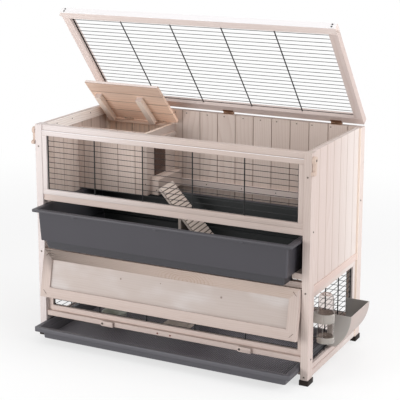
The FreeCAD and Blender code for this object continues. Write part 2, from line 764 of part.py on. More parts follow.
# Base tray, modelled closed and then pulled out
tray_rim = (-inner_x + drawer_side_gap, inner_x - drawer_side_gap, front_rail_y + slide_gap,
            back_rail_inner_y - tray_back_gap)
tray_mouth = inset(tray_rim, tray_rim_width, 0)[:4]
tray_base = inset(tray_mouth, tray_draft + tray_step_in, 0)[:4]
tray = tapered(inset(tray_mouth, tray_draft, tray_step), inset(tray_mouth, 0, tray_rim_top), drawer_corner)
tray = tray.fuse(tapered(inset(tray_base, tray_draft, tray_low), inset(tray_base, 0, tray_step), drawer_corner))
tray_flange = tapered(inset(tray_rim, 0, tray_rim_top - tray_rim_height), inset(tray_rim, 0, tray_rim_top),
                      drawer_corner)
tray_flange = tray_flange.cut(tapered(inset(tray_rim, tray_wall, tray_rim_top - tray_rim_height),
                                      inset(tray_rim, tray_wall, tray_rim_top - tray_wall),
                                      drawer_corner - tray_wall))
tray = tray.fuse(tray_flange)
tray_hollow = tapered(inset(tray_mouth, tray_draft + tray_wall, tray_step + tray_wall),
                      inset(tray_mouth, tray_wall, tray_rim_top), drawer_corner - tray_wall)
tray_hollow = tray_hollow.fuse(tapered(inset(tray_base, tray_draft + tray_wall, tray_low + tray_wall),
                                       inset(tray_base, tray_wall, tray_step + tray_wall),
                                       drawer_corner - tray_wall))
tray = tray.cut(tray_hollow).removeSplitter()
tray.translate(V(0, -tray_pull, 0))
save("base_tray", tray)

# Feed bowl standing on the tray's floor
bowl_low = tray_low + tray_wall
bowl_profile = [V(0, 0, 0), V(bowl_base_radius, 0, 0), V(bowl_top_radius, 0, bowl_height),
                V(bowl_top_radius - bowl_wall, 0, bowl_height),
                V(bowl_base_radius - bowl_wall, 0, bowl_wall), V(0, 0, bowl_wall)]
bowl = Part.Face(Part.makePolygon(bowl_profile + bowl_profile[:1])).revolve(V(0, 0, 0), Z_AXIS, 360)
bowl.translate(V(tray_rim[0] + bowl_from_end, tray_rim[2] - tray_pull + bowl_from_front, bowl_low))
save("feed_bowl", bowl)

# Front flap: mitred frame and recessed panel, modelled closed and then swung out
flap_low = flap_top - flap_height
flap_front_y = -half_d - flap_front_proud
outer_corners = [V(-flap_half, 0, flap_low), V(flap_half, 0, flap_low),
                 V(flap_half, 0, flap_top), V(-flap_half, 0, flap_top)]
inner_corners = [V(c.x - math.copysign(flap_member, c.x), 0,
                   c.z + (flap_member if c.z == flap_low else -flap_member)) for c in outer_corners]
flap_members = []
for i in range(4):
    j = (i + 1) % 4
    outline = [outer_corners[i], outer_corners[j], inner_corners[j], inner_corners[i], outer_corners[i]]
    member = Part.Face(Part.makePolygon(outline)).extrude(V(0, flap_thickness, 0))
    member.translate(V(0, flap_front_y, 0))
    flap_members.append(member.cut(Part.makeCompound(flap_pin_bores)))
panel_y = flap_front_y + flap_panel_recess
flap_panel = box(inner_corners[0].x, inner_corners[1].x, panel_y, panel_y + flap_panel_thickness,
                 inner_corners[0].z, inner_corners[2].z)
for name, shapes in (("flap_frame", flap_members), ("flap_panel", [flap_panel])):
    save(name, [turned(shape, flap_pin_y, flap_pin_z, -flap_open_angle) for shape in shapes])

# Turn-buttons, round at the pivot end
for side, pivot_x in (("left", button_left_x), ("right", button_right_x)):
    pivot = V(pivot_x, button_front_y, button_pivot_z)
    button = box(pivot_x, pivot_x + button_length, button_front_y, button_back_y,
                 button_pivot_z - button_height / 2, button_pivot_z + button_height / 2)
    button = button.fuse(cylinder(button_height / 2, pivot, Y_AXIS, button_thickness))
    bore = cylinder(pivot_radius + running_fit, pivot, Y_AXIS, button_thickness)
    save("turn_button_" + side, button.cut(bore).removeSplitter())

# Lid catches: a round head, an arm hanging down and a toe to the front
pivot = V(catch_low_x, catch_y, catch_z)
toe_z = catch_z - catch_arm
catch = cylinder(catch_radius, pivot, X_AXIS, catch_thickness)
catch = catch.fuse(box(catch_low_x, catch_low_x + catch_thickness, catch_y - catch_arm_width / 2,
                       catch_y + catch_arm_width / 2, toe_z, catch_z))
for toe_y in (catch_y, catch_y - catch_toe):
    catch = catch.fuse(cylinder(catch_arm_width / 2, V(catch_low_x, toe_y, toe_z), X_AXIS, catch_thickness))
catch = catch.fuse(box(catch_low_x, catch_low_x + catch_thickness, catch_y - catch_toe, catch_y,
                       toe_z - catch_arm_width / 2, toe_z + catch_arm_width / 2))
catch = catch.cut(cylinder(pivot_radius + running_fit, pivot, X_AXIS, catch_thickness)).removeSplitter()
save("catch_right", catch)
save("catch_left", mirrored(catch))

# Water bottle and its open holder, screwed to the right window's front stile
holder_inner = bottle_radius + holder_gap
holder_outer = holder_inner + holder_wall
bottle_middle_y = -inner_y + bottle_setback
bottle_x = half_w + holder_clearance + holder_outer
shoulder_z = bottle_top - bottle_shoulder
bottle_shells = []
for wall_in in (0, bottle_wall):
    r = bottle_radius - wall_in
    low = V(r, 0, bottle_low + wall_in)
    shoulder = V(r, 0, shoulder_z)
    top = V(bottle_crown_radius, 0, bottle_top - wall_in)
    bend = V(bottle_crown_radius + (r - bottle_crown_radius) * math.sqrt(0.5), 0,
             shoulder_z + (top.z - shoulder_z) * math.sqrt(0.5))
    wire = Part.Wire([Part.LineSegment(V(0, 0, low.z), low).toShape(), Part.LineSegment(low, shoulder).toShape(),
                      Part.Arc(shoulder, bend, top).toShape(),
                      Part.LineSegment(top, V(0, 0, top.z)).toShape(),
                      Part.LineSegment(V(0, 0, top.z), V(0, 0, low.z)).toShape()])
    bottle_shells.append(Part.Face(wire).revolve(V(0, 0, 0), Z_AXIS, 360))
bottle = bottle_shells[0].cut(bottle_shells[1])
bottle.translate(V(bottle_x, bottle_middle_y, 0))
save("water_bottle", bottle)


def tube(low, high):
    ring = cylinder(holder_outer, V(bottle_x, bottle_middle_y, low), Z_AXIS, high - low)
    return ring.cut(cylinder(holder_inner, V(bottle_x, bottle_middle_y, low), Z_AXIS, high - low))


holder = tube(holder_low, holder_top)
window_mid = (holder_low + holder_cup_height + holder_band_low) / 2
window_height = holder_band_low - holder_low - holder_cup_height
for direction in (0, 90):
    cutter = box(-2 * holder_outer, 2 * holder_outer, -holder_outer + holder_strut, holder_outer - holder_strut,
                 window_mid - window_height / 2, window_mid + window_height / 2)
    cutter.rotate(V(0, 0, 0), Z_AXIS, direction + 45)
    cutter.translate(V(bottle_x, bottle_middle_y, 0))
    holder = holder.cut(cutter)
holder = holder.fuse(cylinder(holder_outer, V(bottle_x, bottle_middle_y, holder_low), Z_AXIS,
                              bottle_low - slide_gap - holder_low))
bracket = box(side_outer_x, bottle_x, bottle_middle_y - bracket_width, bottle_middle_y,
              holder_band_low, holder_top)
bracket = bracket.cut(cylinder(holder_outer - holder_wall / 2, V(bottle_x, bottle_middle_y, holder_band_low),
                               Z_AXIS, holder_top - holder_band_low))
save("bottle_holder", holder.fuse(bracket).removeSplitter())

# Hay hopper: a curved trough, open at the top and towards the wire panel
hopper_in_x = side_mesh_x + upright_radius
hopper_rim_x = half_w + hopper_out


def hopper_block(wall_in, y0, y1, in_x):
    """The trough's filled section, wall_in smaller on its curved side, from y0 to y1."""
    low = hopper_low + wall_in
    rim_x = hopper_rim_x - wall_in
    foot_x = half_w + hopper_foot - wall_in
    bend = V(foot_x + hopper_bend_out * (rim_x - foot_x), y0, low + hopper_bend_up * (hopper_top - low))
    points = [V(in_x, y0, hopper_top), V(in_x, y0, low), V(foot_x, y0, low), V(rim_x, y0, hopper_top)]
    wire = Part.Wire([Part.LineSegment(points[0], points[1]).toShape(),
                      Part.LineSegment(points[1], points[2]).toShape(),
                      Part.Arc(points[2], bend, points[3]).toShape(),
                      Part.LineSegment(points[3], points[0]).toShape()])
    return Part.Face(wire).extrude(V(0, y1 - y0, 0))


hopper_back_y = side_half - hopper_back_gap
hopper_front_y = hopper_back_y - hopper_length
hopper = hopper_block(0, hopper_front_y, hopper_back_y, hopper_in_x)
hopper = hopper.cut(hopper_block(hopper_wall, hopper_front_y + hopper_wall, hopper_back_y - hopper_wall,
                                 hopper_in_x))
save("hay_hopper", hopper)
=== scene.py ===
import json
import math
import bmesh
import bpy
from mathutils import Matrix, Vector

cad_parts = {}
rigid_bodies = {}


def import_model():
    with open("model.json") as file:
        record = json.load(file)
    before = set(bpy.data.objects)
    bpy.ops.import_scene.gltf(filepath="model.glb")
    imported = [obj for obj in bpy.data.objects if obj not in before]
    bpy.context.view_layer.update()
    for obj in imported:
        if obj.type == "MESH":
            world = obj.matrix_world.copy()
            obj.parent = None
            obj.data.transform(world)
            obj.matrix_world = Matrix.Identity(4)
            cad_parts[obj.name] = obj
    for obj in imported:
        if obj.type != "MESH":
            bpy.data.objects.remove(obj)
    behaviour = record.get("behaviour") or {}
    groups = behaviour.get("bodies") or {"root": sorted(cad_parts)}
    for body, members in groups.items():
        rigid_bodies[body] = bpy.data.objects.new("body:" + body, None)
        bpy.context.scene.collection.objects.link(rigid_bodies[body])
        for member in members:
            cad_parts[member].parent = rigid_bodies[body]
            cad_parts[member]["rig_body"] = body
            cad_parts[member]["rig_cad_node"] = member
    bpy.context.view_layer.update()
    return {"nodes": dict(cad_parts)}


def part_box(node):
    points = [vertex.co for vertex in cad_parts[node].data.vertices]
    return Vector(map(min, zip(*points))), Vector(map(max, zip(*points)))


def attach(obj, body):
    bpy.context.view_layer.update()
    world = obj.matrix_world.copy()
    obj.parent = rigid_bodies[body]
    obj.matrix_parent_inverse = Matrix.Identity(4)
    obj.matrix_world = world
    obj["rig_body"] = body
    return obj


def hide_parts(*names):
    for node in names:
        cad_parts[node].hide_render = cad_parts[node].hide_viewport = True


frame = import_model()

nodes = frame["nodes"]
scene = bpy.context.scene
mm = 0.001
weldGap = 0.01 * mm
margin = 0.1 * mm
# shares of a face's normal: it looks one way, looks there squarely, or leans there
facing, straight, leaning = 0.5, 0.9, 0.2
smoothAngle = math.radians(35)
softenAngle = math.radians(40)
sameFaceAngle = math.radians(0.5)

# what stands open at rest: the line along X it turns about, in millimetres, and its angle from shut
lidTurn = {"axis": (264, 862.2), "angle": 50.25}
nestLidTurn = {"axis": (222, 805.2), "angle": 44.5}
flapTurn = {"axis": (-264, 354), "angle": 11.5}
print("frame loaded:", len(nodes), "nodes")


# small helpers for selecting and modelling

def clearSelection():
    bpy.ops.object.select_all(action="DESELECT")


def pickOnly(obj):
    clearSelection()
    obj.select_set(True)
    bpy.context.view_layer.objects.active = obj


def objectMode():
    bpy.ops.object.mode_set(mode="OBJECT")


def startSelecting(obj, kind):
    bpy.ops.object.mode_set(mode="EDIT")
    bpy.ops.mesh.select_mode(type=kind)
    bpy.ops.mesh.select_all(action="DESELECT")
    return bmesh.from_edit_mesh(obj.data)


def selectFaces(obj, test):
    for face in startSelecting(obj, "FACE").faces:
        face.select_set(bool(test(face.calc_center_median(), face.normal)))
    bmesh.update_edit_mesh(obj.data)


def selectEdges(obj, test):
    for edge in startSelecting(obj, "EDGE").edges:
        edge.select_set(bool(test(edge.verts[0].co, edge.verts[1].co)))
    bmesh.update_edit_mesh(obj.data)


def applyPlace():
    bpy.ops.object.transform_apply(location=True, rotation=True, scale=True)


def addBlock(name, low, high):
    clearSelection()
    middle = [(a + b) / 2 * mm for a, b in zip(low, high)]
    size = [abs(b - a) * mm for a, b in zip(low, high)]
    bpy.ops.mesh.primitive_cube_add(size=1, location=middle, scale=size)
    obj = bpy.context.object
    obj.name = name
    applyPlace()
    return obj


def addRound(name, radius, depth, sides, location):
    clearSelection()
    bpy.ops.mesh.primitive_cylinder_add(vertices=sides, radius=radius * mm, depth=depth * mm,
                                        location=[v * mm for v in location])
    obj = bpy.context.object
    obj.name = name
    applyPlace()
    return obj


def smoothShade():
    bpy.ops.object.shade_smooth_by_angle(angle=smoothAngle)


def softenEdges(obj, width, segments=2):
    pickOnly(obj)
    bevel = obj.modifiers.new("soften", "BEVEL")
    bevel.width = width * mm
    bevel.segments = segments
    bevel.limit_method = "ANGLE"
    bevel.angle_limit = softenAngle
    bpy.ops.object.modifier_apply(modifier=bevel.name)
    smoothShade()
    return obj


def copyOf(obj, name):
    pickOnly(obj)
    bpy.ops.object.duplicate(linked=False)
    twin = bpy.context.object
    twin.name = name
    return twin


def placeCopy(master, name, place, facing):
    twin = copyOf(master, name)
    twin.rotation_mode = "QUATERNION"
    twin.rotation_quaternion = Vector((0, 0, 1)).rotation_difference(Vector(facing).normalized())
    twin.location = [v * mm for v in place]
    applyPlace()
    return twin


def joinAll(objects, name):
    clearSelection()
    for obj in objects:
        obj.select_set(True)
    bpy.context.view_layer.objects.active = objects[0]
    if len(objects) > 1:
        bpy.ops.object.join()
    whole = bpy.context.object
    whole.name = name
    whole.data.name = name
    return whole


def scatter(master, name, places):
    return joinAll([placeCopy(master, name, place, facing) for place, facing in places], name)


def removeMaster(obj):
    bpy.data.objects.remove(obj, do_unlink=True)


# turns a piece modelled shut to where it stands at rest
def turnOpen(obj, turn):
    pivot = Matrix.Translation((0, *(v * mm for v in turn["axis"])))
    obj.rotation_mode = "XYZ"
    obj.matrix_world = pivot @ Matrix.Rotation(math.radians(-turn["angle"]), 4, "X") @ pivot.inverted()
    pickOnly(obj)
    applyPlace()
    return obj


# the depth and height that a point of an open piece has when the piece is shut
def shutPlace(point, turn):
    axisY, axisZ = (v * mm for v in turn["axis"])
    y, z = point.y - axisY, point.z - axisZ
    cos, sin = math.cos(math.radians(turn["angle"])), math.sin(math.radians(turn["angle"]))
    return axisY + y * cos - z * sin, axisZ + y * sin + z * cos


# a pick takes a face's middle and normal and says which of the finishes it gets
def paintFaces(mesh, finishes, pick=None):
    mesh.materials.clear()
    for finish in finishes:
        mesh.materials.append(finish)
    for face in mesh.polygons:
        face.material_index = int(pick(face.center, face.normal)) if pick else 0


def finishPiece(obj, body, slot, *finishes, pick=None):
    paintFaces(obj.data, finishes, pick)
    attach(obj, body)
    return obj


# a node's copy with its edges eased, to stand for the node
def easedPiece(node, name, body, slot, *finishes, ease, segments=2, pick=None):
    twin = copyOf(nodes[node], name)
    twin.parent = None
    del twin["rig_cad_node"]
    del twin["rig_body"]
    bpy.ops.object.mode_set(mode="EDIT")
    bpy.ops.mesh.select_all(action="SELECT")
    bpy.ops.mesh.remove_doubles(threshold=weldGap)
    bpy.ops.mesh.dissolve_limited(angle_limit=sameFaceAngle)
    objectMode()
    softenEdges(twin, ease, segments)
    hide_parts(node)
    return finishPiece(twin, body, slot, *finishes, pick=pick)


# shader helpers

def paint(red, green, blue):
    def linear(v):
        v = v / 255
        return v / 12.92 if v <= 0.04045 else ((v + 0.055) / 1.055) ** 2.4
    return (linear(red), linear(green), linear(blue), 1.0)


class Nodes:
    def __init__(self, tree):
        self.tree = tree

    def add(self, kind, **settings):
        node = self.tree.nodes.new(kind)
        for key, value in settings.items():
            setattr(node, key, value)
        return node

    def link(self, source, target):
        self.tree.links.new(source, target)

    def feed(self, socket, value):
        if isinstance(value, (int, float, tuple)):
            socket.default_value = value
        else:
            self.link(value, socket)

    def math(self, operation, *values):
        node = self.add("ShaderNodeMath", operation=operation)
        for socket, value in zip(node.inputs, values):
            self.feed(socket, value)
        return node.outputs[0]

    def invert(self, value):
        return self.math("SUBTRACT", 1.0, value)

    def vector(self, operation, *values):
        node = self.add("ShaderNodeVectorMath", operation=operation)
        for socket, value in zip(node.inputs, values):
            self.feed(socket, value)
        return node.outputs["Value" if operation in ("LENGTH", "DISTANCE") else "Vector"]

    def split(self, vector):
        node = self.add("ShaderNodeSeparateXYZ")
        self.link(vector, node.inputs[0])
        return node.outputs

    def noise(self, vector, scale=1.0, detail=2.0, rough=0.5):
        node = self.add("ShaderNodeTexNoise")
        for label, value in (("Vector", vector), ("Scale", scale), ("Detail", detail), ("Roughness", rough)):
            self.feed(node.inputs[label], value)
        return node.outputs["Fac"]

    def smooth(self, value, low, high):
        node = self.add("ShaderNodeMapRange", interpolation_type="SMOOTHSTEP")
        for label, given in (("Value", value), ("From Min", low), ("From Max", high)):
            self.feed(node.inputs[label], given)
        return node.outputs["Result"]

    # the colour sockets share their names with others, so they go by number
    def mix(self, share, a, b):
        node = self.add("ShaderNodeMix", data_type="RGBA")
        for number, value in ((0, share), (6, a), (7, b)):
            self.feed(node.inputs[number], value)
        return node.outputs[2]

    # lays a tone over a colour, by a share of the mask
    def tint(self, body, mask, share, tone):
        return self.mix(self.math("MULTIPLY", mask, share), body, paint(*tone))


def newGroup(name, inputs, outputs):
    tree = bpy.data.node_groups.new(name, "ShaderNodeTree")
    for label, kind, value in inputs:
        socket = tree.interface.new_socket(name=label, in_out="INPUT", socket_type=kind)
        if value is not None:
            socket.default_value = value
    for label in outputs:
        tree.interface.new_socket(name=label, in_out="OUTPUT", socket_type="NodeSocketFloat")
    kit = Nodes(tree)
    return tree, kit, kit.add("NodeGroupInput").outputs, kit.add("NodeGroupOutput").inputs


# sawn pine: the grain runs along the vector's X, boards lie side by side along its Y
# a board as wide as single or wider is one member, without joints
pineSet = {
    "single": 1.0, "joint": (0.0007, 0.0026), "boardShift": (3.0, 0.35, 0.35),
    "knotCells": (3.4, 11.0, 11.0), "knotCore": (0.03, 0.085), "knotAround": (0.05, 0.42), "knotPush": 0.012,
    "wander": (1.5, 5.0, 5.0), "wanderReach": 0.055, "ringStretch": (0.02, 1.0, 1.0), "pith": (0.0, 0.11, 0.09),
    "lateWood": 3.0, "ringEnd": (1.0, 0.9), "fibre": (7.0, 330.0, 330.0), "fibreDetail": (3.0, 0.6),
    "cloud": (2.2, 9.0, 9.0), "fibreHeight": 0.6, "ringHeight": 0.25, "knotDepth": 0.4,
}
pineTree, kit, given, made = newGroup(
    "sawnPine",
    [("Vector", "NodeSocketVector", None), ("Board Width", "NodeSocketFloat", 10.0),
     ("Ring Gap", "NodeSocketFloat", 0.007), ("Knots", "NodeSocketFloat", 0.2)],
    ["Rings", "Fibre", "Knot", "Tone", "Joint", "Height"])
across = kit.math("DIVIDE", kit.split(given["Vector"])[1], given["Board Width"])
# dark lines where boards meet
fromMiddle = kit.math("ABSOLUTE", kit.math("SUBTRACT", kit.math("FRACT", across), 0.5))
fromEdge = kit.math("MULTIPLY", kit.math("SUBTRACT", 0.5, fromMiddle), given["Board Width"])
boarded = kit.math("LESS_THAN", given["Board Width"], pineSet["single"])
joint = kit.invert(kit.smooth(fromEdge, *pineSet["joint"]))
kit.link(kit.math("MULTIPLY", joint, boarded), made["Joint"])
# each board is cut from another place of the wood
boardRandom = kit.add("ShaderNodeTexWhiteNoise", noise_dimensions="1D")
kit.link(kit.math("FLOOR", across), boardRandom.inputs["W"])
boardShift = kit.vector("MULTIPLY", boardRandom.outputs["Color"], pineSet["boardShift"])
moved = kit.vector("ADD", given["Vector"], boardShift)
# knots: few stretched cells, each with a round core
cells = kit.add("ShaderNodeTexVoronoi", feature="F1")
kit.link(kit.vector("MULTIPLY", moved, pineSet["knotCells"]), cells.inputs["Vector"])
cells.inputs["Scale"].default_value = 1.0
cellPick = kit.add("ShaderNodeSeparateColor")
kit.link(cells.outputs["Color"], cellPick.inputs[0])
kept = kit.math("LESS_THAN", cellPick.outputs[0], given["Knots"])
core = kit.invert(kit.smooth(cells.outputs["Distance"], *pineSet["knotCore"]))
around = kit.invert(kit.smooth(cells.outputs["Distance"], *pineSet["knotAround"]))
knot = kit.math("MULTIPLY", core, kept)
kit.link(knot, made["Knot"])
knotPush = kit.math("MULTIPLY", kit.math("MULTIPLY", around, kept), pineSet["knotPush"])
# growth rings round a distant pith, wavering along the board
wander = kit.noise(kit.vector("MULTIPLY", moved, pineSet["wander"]))
flat = kit.vector("ADD", kit.vector("MULTIPLY", moved, pineSet["ringStretch"]), pineSet["pith"])
distance = kit.math("ADD", kit.vector("LENGTH", flat), kit.math("MULTIPLY", wander, pineSet["wanderReach"]))
distance = kit.math("ADD", distance, knotPush)
saw = kit.math("FRACT", kit.math("DIVIDE", distance, given["Ring Gap"]))
lateWood = kit.math("POWER", saw, pineSet["lateWood"])
kit.link(kit.math("MULTIPLY", lateWood, kit.smooth(saw, *pineSet["ringEnd"])), made["Rings"])
# fibres along the grain, and a cloudy tone
fibre = kit.noise(kit.vector("MULTIPLY", moved, pineSet["fibre"]), 1.0, *pineSet["fibreDetail"])
kit.link(fibre, made["Fibre"])
cloud = kit.noise(kit.vector("MULTIPLY", moved, pineSet["cloud"]))
kit.link(kit.math("MULTIPLY", kit.math("ADD", boardRandom.outputs["Value"], cloud), 0.5), made["Tone"])
height = kit.math("ADD", kit.math("MULTIPLY", fibre, pineSet["fibreHeight"]),
                  kit.math("MULTIPLY", lateWood, pineSet["ringHeight"]))
kit.link(kit.math("SUBTRACT", height, kit.math("MULTIPLY", knot, pineSet["knotDepth"])), made["Height"])

# moulded surface: cloudy tone, fine texture and scuffs, for plastic and coated metal
mouldSet = {"mottle": (7.0, 3.0, 0.55), "scuffStretch": (1.0, 4.0, 9.0), "scuffDetail": (6.0, 0.7),
            "scuff": (0.58, 0.78)}
mouldTree, kit, given, made = newGroup(
    "mouldedSurface",
    [("Vector", "NodeSocketVector", None), ("Texture Scale", "NodeSocketFloat", 900.0),
     ("Scuff Scale", "NodeSocketFloat", 14.0)],
    ["Mottle", "Scuff", "Height"])
kit.link(kit.noise(given["Vector"], *mouldSet["mottle"]), made["Mottle"])
stretched = kit.vector("MULTIPLY", given["Vector"], mouldSet["scuffStretch"])
scratch = kit.noise(stretched, given["Scuff Scale"], *mouldSet["scuffDetail"])
kit.link(kit.smooth(scratch, *mouldSet["scuff"]), made["Scuff"])
kit.link(kit.noise(given["Vector"], given["Texture Scale"]), made["Height"])
print("shader groups ready")


def startMaterial(name):
    material = bpy.data.materials.new(name)
    material.use_nodes = True
    material.node_tree.nodes.clear()
    kit = Nodes(material.node_tree)
    shader = kit.add("ShaderNodeBsdfPrincipled")
    kit.link(shader.outputs[0], kit.add("ShaderNodeOutputMaterial").inputs[0])
    place = kit.add("ShaderNodeTexCoord").outputs["Object"]
    mapping = kit.add("ShaderNodeMapping")
    kit.link(place, mapping.inputs["Vector"])
    return material, kit, shader, place, mapping


def bumpFrom(kit, shader, height, depth, strength=1.0):
    bump = kit.add("ShaderNodeBump")
    bump.inputs["Distance"].default_value = depth * mm
    bump.inputs["Strength"].default_value = strength
    kit.link(height, bump.inputs["Height"])
    kit.link(bump.outputs[0], shader.inputs["Normal"])


# how the object's axes turn so that the grain lies along X
grainTurn = {
    "x": (0, 0, 0), "y": (0, 0, -90), "z": (0, 90, 0), "zAlongX": (90, 0, 90),
    "lidX": (lidTurn["angle"], 0, 0), "lidY": (lidTurn["angle"], 0, -90),
    "nestLidX": (nestLidTurn["angle"], 0, 0), "nestLidY": (nestLidTurn["angle"], 0, -90),
    "flapX": (flapTurn["angle"], 0, 0), "flapZ": (flapTurn["angle"], 90, 0),
}
usualPine = {"knot": (150, 112, 92), "knots": 0.1, "ringShare": 0.4, "gap": 0.0065, "joint": (128, 104, 92)}


def pineLook(light, dark, ring, **changes):
    return {"light": light, "dark": dark, "ring": ring, **usualPine, **changes}


# the flap's top rail shows rings cut flat, arched round one point
railArch = {"middle": (83, 329), "gap": 6, "near": 26, "far": 66, "stretch": 0.42, "waver": (40.0, 1.0, 30.0),
            "waverReach": 0.012, "sharp": 3.0, "share": 0.6}
pineLooks = {
    "washedPine": pineLook((196, 181, 174), (184, 167, 159), (168, 145, 133), knot=(142, 106, 88)),
    "railPine": pineLook((213, 197, 190), (202, 184, 175), (182, 158, 146), knots=0.08),
    "palePine": pineLook((226, 213, 208), (216, 200, 193), (200, 177, 167), knot=(168, 126, 104)),
    "wallPine": pineLook((208, 193, 188), (198, 181, 174), (184, 160, 149), knot=(160, 122, 102),
                         joint=(178, 154, 143)),
    "pinkPine": pineLook((211, 190, 183), (201, 178, 170), (187, 158, 146), knot=(160, 122, 102)),
    # deepShadePine: a greyer copy for faces in deep shade, painted shade
    "deepShadePine": pineLook((190, 175, 168), (180, 164, 155), (162, 140, 128), knot=(142, 106, 88), knots=0.06),
    "shadedPine": pineLook((219, 203, 194), (206, 188, 178), (186, 160, 147), knot=(150, 108, 84),
                           joint=(152, 129, 116)),
    "nestPine": pineLook((230, 205, 188), (217, 187, 168), (194, 157, 135), knot=(146, 104, 80), knots=0.14,
                         ringShare=0.45, joint=(112, 84, 68)),
    "catchPine": pineLook((204, 184, 172), (193, 170, 156), (176, 148, 131), knots=0.0, gap=0.005),
    "rampPine": pineLook((226, 214, 205), (212, 198, 189), (190, 170, 158), knots=0.0, ringShare=0.35,
                         gap=0.006),
    # edgeHighlightPine: a near white pine for edges, painted highlight
    "edgeHighlightPine": pineLook((234, 232, 233), (228, 225, 226), (218, 211, 209), knots=0.0, ringShare=0.3),
    # paintedLightPine: a paler tan pine for faces and parts in shade, painted light
    "paintedLightPine": pineLook((252, 238, 226), (246, 228, 213), (228, 203, 187), knots=0.0, ringShare=0.35),
    "flapPine": pineLook((193, 182, 177), (164, 149, 140), (164, 142, 130), knot=(112, 94, 84), knots=0.03,
                         ringShare=0.2, gap=0.009, wash=0.6),
    "flapRailPine": pineLook((187, 170, 161), (178, 160, 149), (156, 131, 112), knots=0.05, ringShare=0.45,
                             arch=railArch),
}
woodSet = {"washTone": (201, 195, 193), "washStretch": (5.0, 9.0, 9.0), "washEdge": (0.45, 0.68),
           "streak": (0.5, 0.85), "streakShare": 0.35, "knotShare": 0.8, "spotShare": 0.75, "spotCore": 0.3,
           "jointShare": 0.8, "rough": (0.25, 0.5), "specular": 0.3, "bump": (0.35, 0.6)}
pineMade = {}


def archedRings(kit, body, place, arch, tone):
    x, z = arch["middle"]
    seen = kit.vector("MULTIPLY", place, (arch["stretch"], 0, 1))
    away = kit.vector("DISTANCE", seen, (arch["stretch"] * x * mm, 0, z * mm))
    waver = kit.noise(kit.vector("MULTIPLY", seen, arch["waver"]))
    wavering = kit.math("MULTIPLY_ADD", waver, arch["waverReach"], away)
    saw = kit.math("FRACT", kit.math("DIVIDE", wavering, arch["gap"] * mm))
    rings = kit.math("MULTIPLY", kit.math("POWER", saw, arch["sharp"]),
                     kit.smooth(away, arch["far"] * mm, arch["near"] * mm))
    return kit.tint(body, rings, arch["share"], tone)


# paintedLight: painted light, a paler tone laid on by position: the axis, where it starts and is full, and the
# tone
# spots: small knots at a given X and Z, and their size
def pine(lookName, grain, boardWidth=10.0, boardStart=0.0, spots=(), paintedLight=None):
    key = (lookName, grain, boardWidth, boardStart, spots, paintedLight)
    if key in pineMade:
        return pineMade[key]
    look = pineLooks[lookName]
    material, kit, shader, place, mapping = startMaterial(lookName + grain[0].upper() + grain[1:])
    mapping.inputs["Rotation"].default_value = [math.radians(v) for v in grainTurn[grain]]
    mapping.inputs["Location"].default_value = (0, -boardStart, 0)
    group = kit.add("ShaderNodeGroup", node_tree=pineTree)
    for label, value in (("Vector", mapping.outputs[0]), ("Board Width", boardWidth), ("Ring Gap", look["gap"]),
                         ("Knots", look["knots"])):
        kit.feed(group.inputs[label], value)
    wood = group.outputs
    body = kit.mix(wood["Tone"], paint(*look["light"]), paint(*look["dark"]))
    # painted light: paler towards one end along the axis
    if paintedLight:
        axis, start, full, tone = paintedLight
        body = kit.mix(kit.smooth(kit.split(place)[axis], start, full), body, paint(*tone))
    if "wash" in look:  # limewash left in pale patches
        patch = kit.noise(kit.vector("MULTIPLY", mapping.outputs[0], woodSet["washStretch"]))
        body = kit.tint(body, kit.smooth(patch, *woodSet["washEdge"]), look["wash"], woodSet["washTone"])
    body = kit.tint(body, wood["Rings"], look["ringShare"], look["ring"])
    if "arch" in look:
        body = archedRings(kit, body, place, look["arch"], look["ring"])
    body = kit.tint(body, kit.smooth(wood["Fibre"], *woodSet["streak"]), woodSet["streakShare"], look["ring"])
    body = kit.tint(body, wood["Knot"], woodSet["knotShare"], look["knot"])
    for x, z, size in spots:
        away = kit.vector("DISTANCE", kit.vector("MULTIPLY", place, (1, 0, 1)), (x * mm, 0, z * mm))
        spot = kit.invert(kit.smooth(away, woodSet["spotCore"] * size * mm, size * mm))
        body = kit.tint(body, spot, woodSet["spotShare"], look["knot"])
    body = kit.tint(body, wood["Joint"], woodSet["jointShare"], look["joint"])
    kit.link(body, shader.inputs["Base Color"])
    kit.link(kit.math("MULTIPLY_ADD", wood["Fibre"], *woodSet["rough"]), shader.inputs["Roughness"])
    shader.inputs["Specular IOR Level"].default_value = woodSet["specular"]
    bumpFrom(kit, shader, wood["Height"], *woodSet["bump"])
    pineMade[key] = material
    return material


# crease: a shade line under a rim, with the heights where it starts, is full and ends, and its tone
def moulded(name, dark, light, worn, rough=(0.42, 0.55), bump=0.06, scuff=0.15, metal=0.0, clear=0.0, ior=1.5,
            specular=0.5, crease=None):
    material, kit, shader, place, mapping = startMaterial(name)
    group = kit.add("ShaderNodeGroup", node_tree=mouldTree)
    kit.link(mapping.outputs[0], group.inputs["Vector"])
    surface = group.outputs
    body = kit.mix(surface["Mottle"], paint(*dark), paint(*light))
    body = kit.tint(body, surface["Scuff"], scuff, worn)
    if crease:
        start, full, end, tone = crease
        height = kit.split(place)[2]
        body = kit.tint(body, kit.smooth(height, start * mm, full * mm),
                        kit.math("LESS_THAN", height, end * mm), tone)
    kit.link(body, shader.inputs["Base Color"])
    smoothest, roughest = rough
    kit.link(kit.math("MULTIPLY_ADD", surface["Mottle"], roughest - smoothest, smoothest),
             shader.inputs["Roughness"])
    for label, value in (("Metallic", metal), ("Transmission Weight", clear), ("IOR", ior),
                         ("Specular IOR Level", specular)):
        shader.inputs[label].default_value = value
    bumpFrom(kit, shader, surface["Height"], bump)
    return material


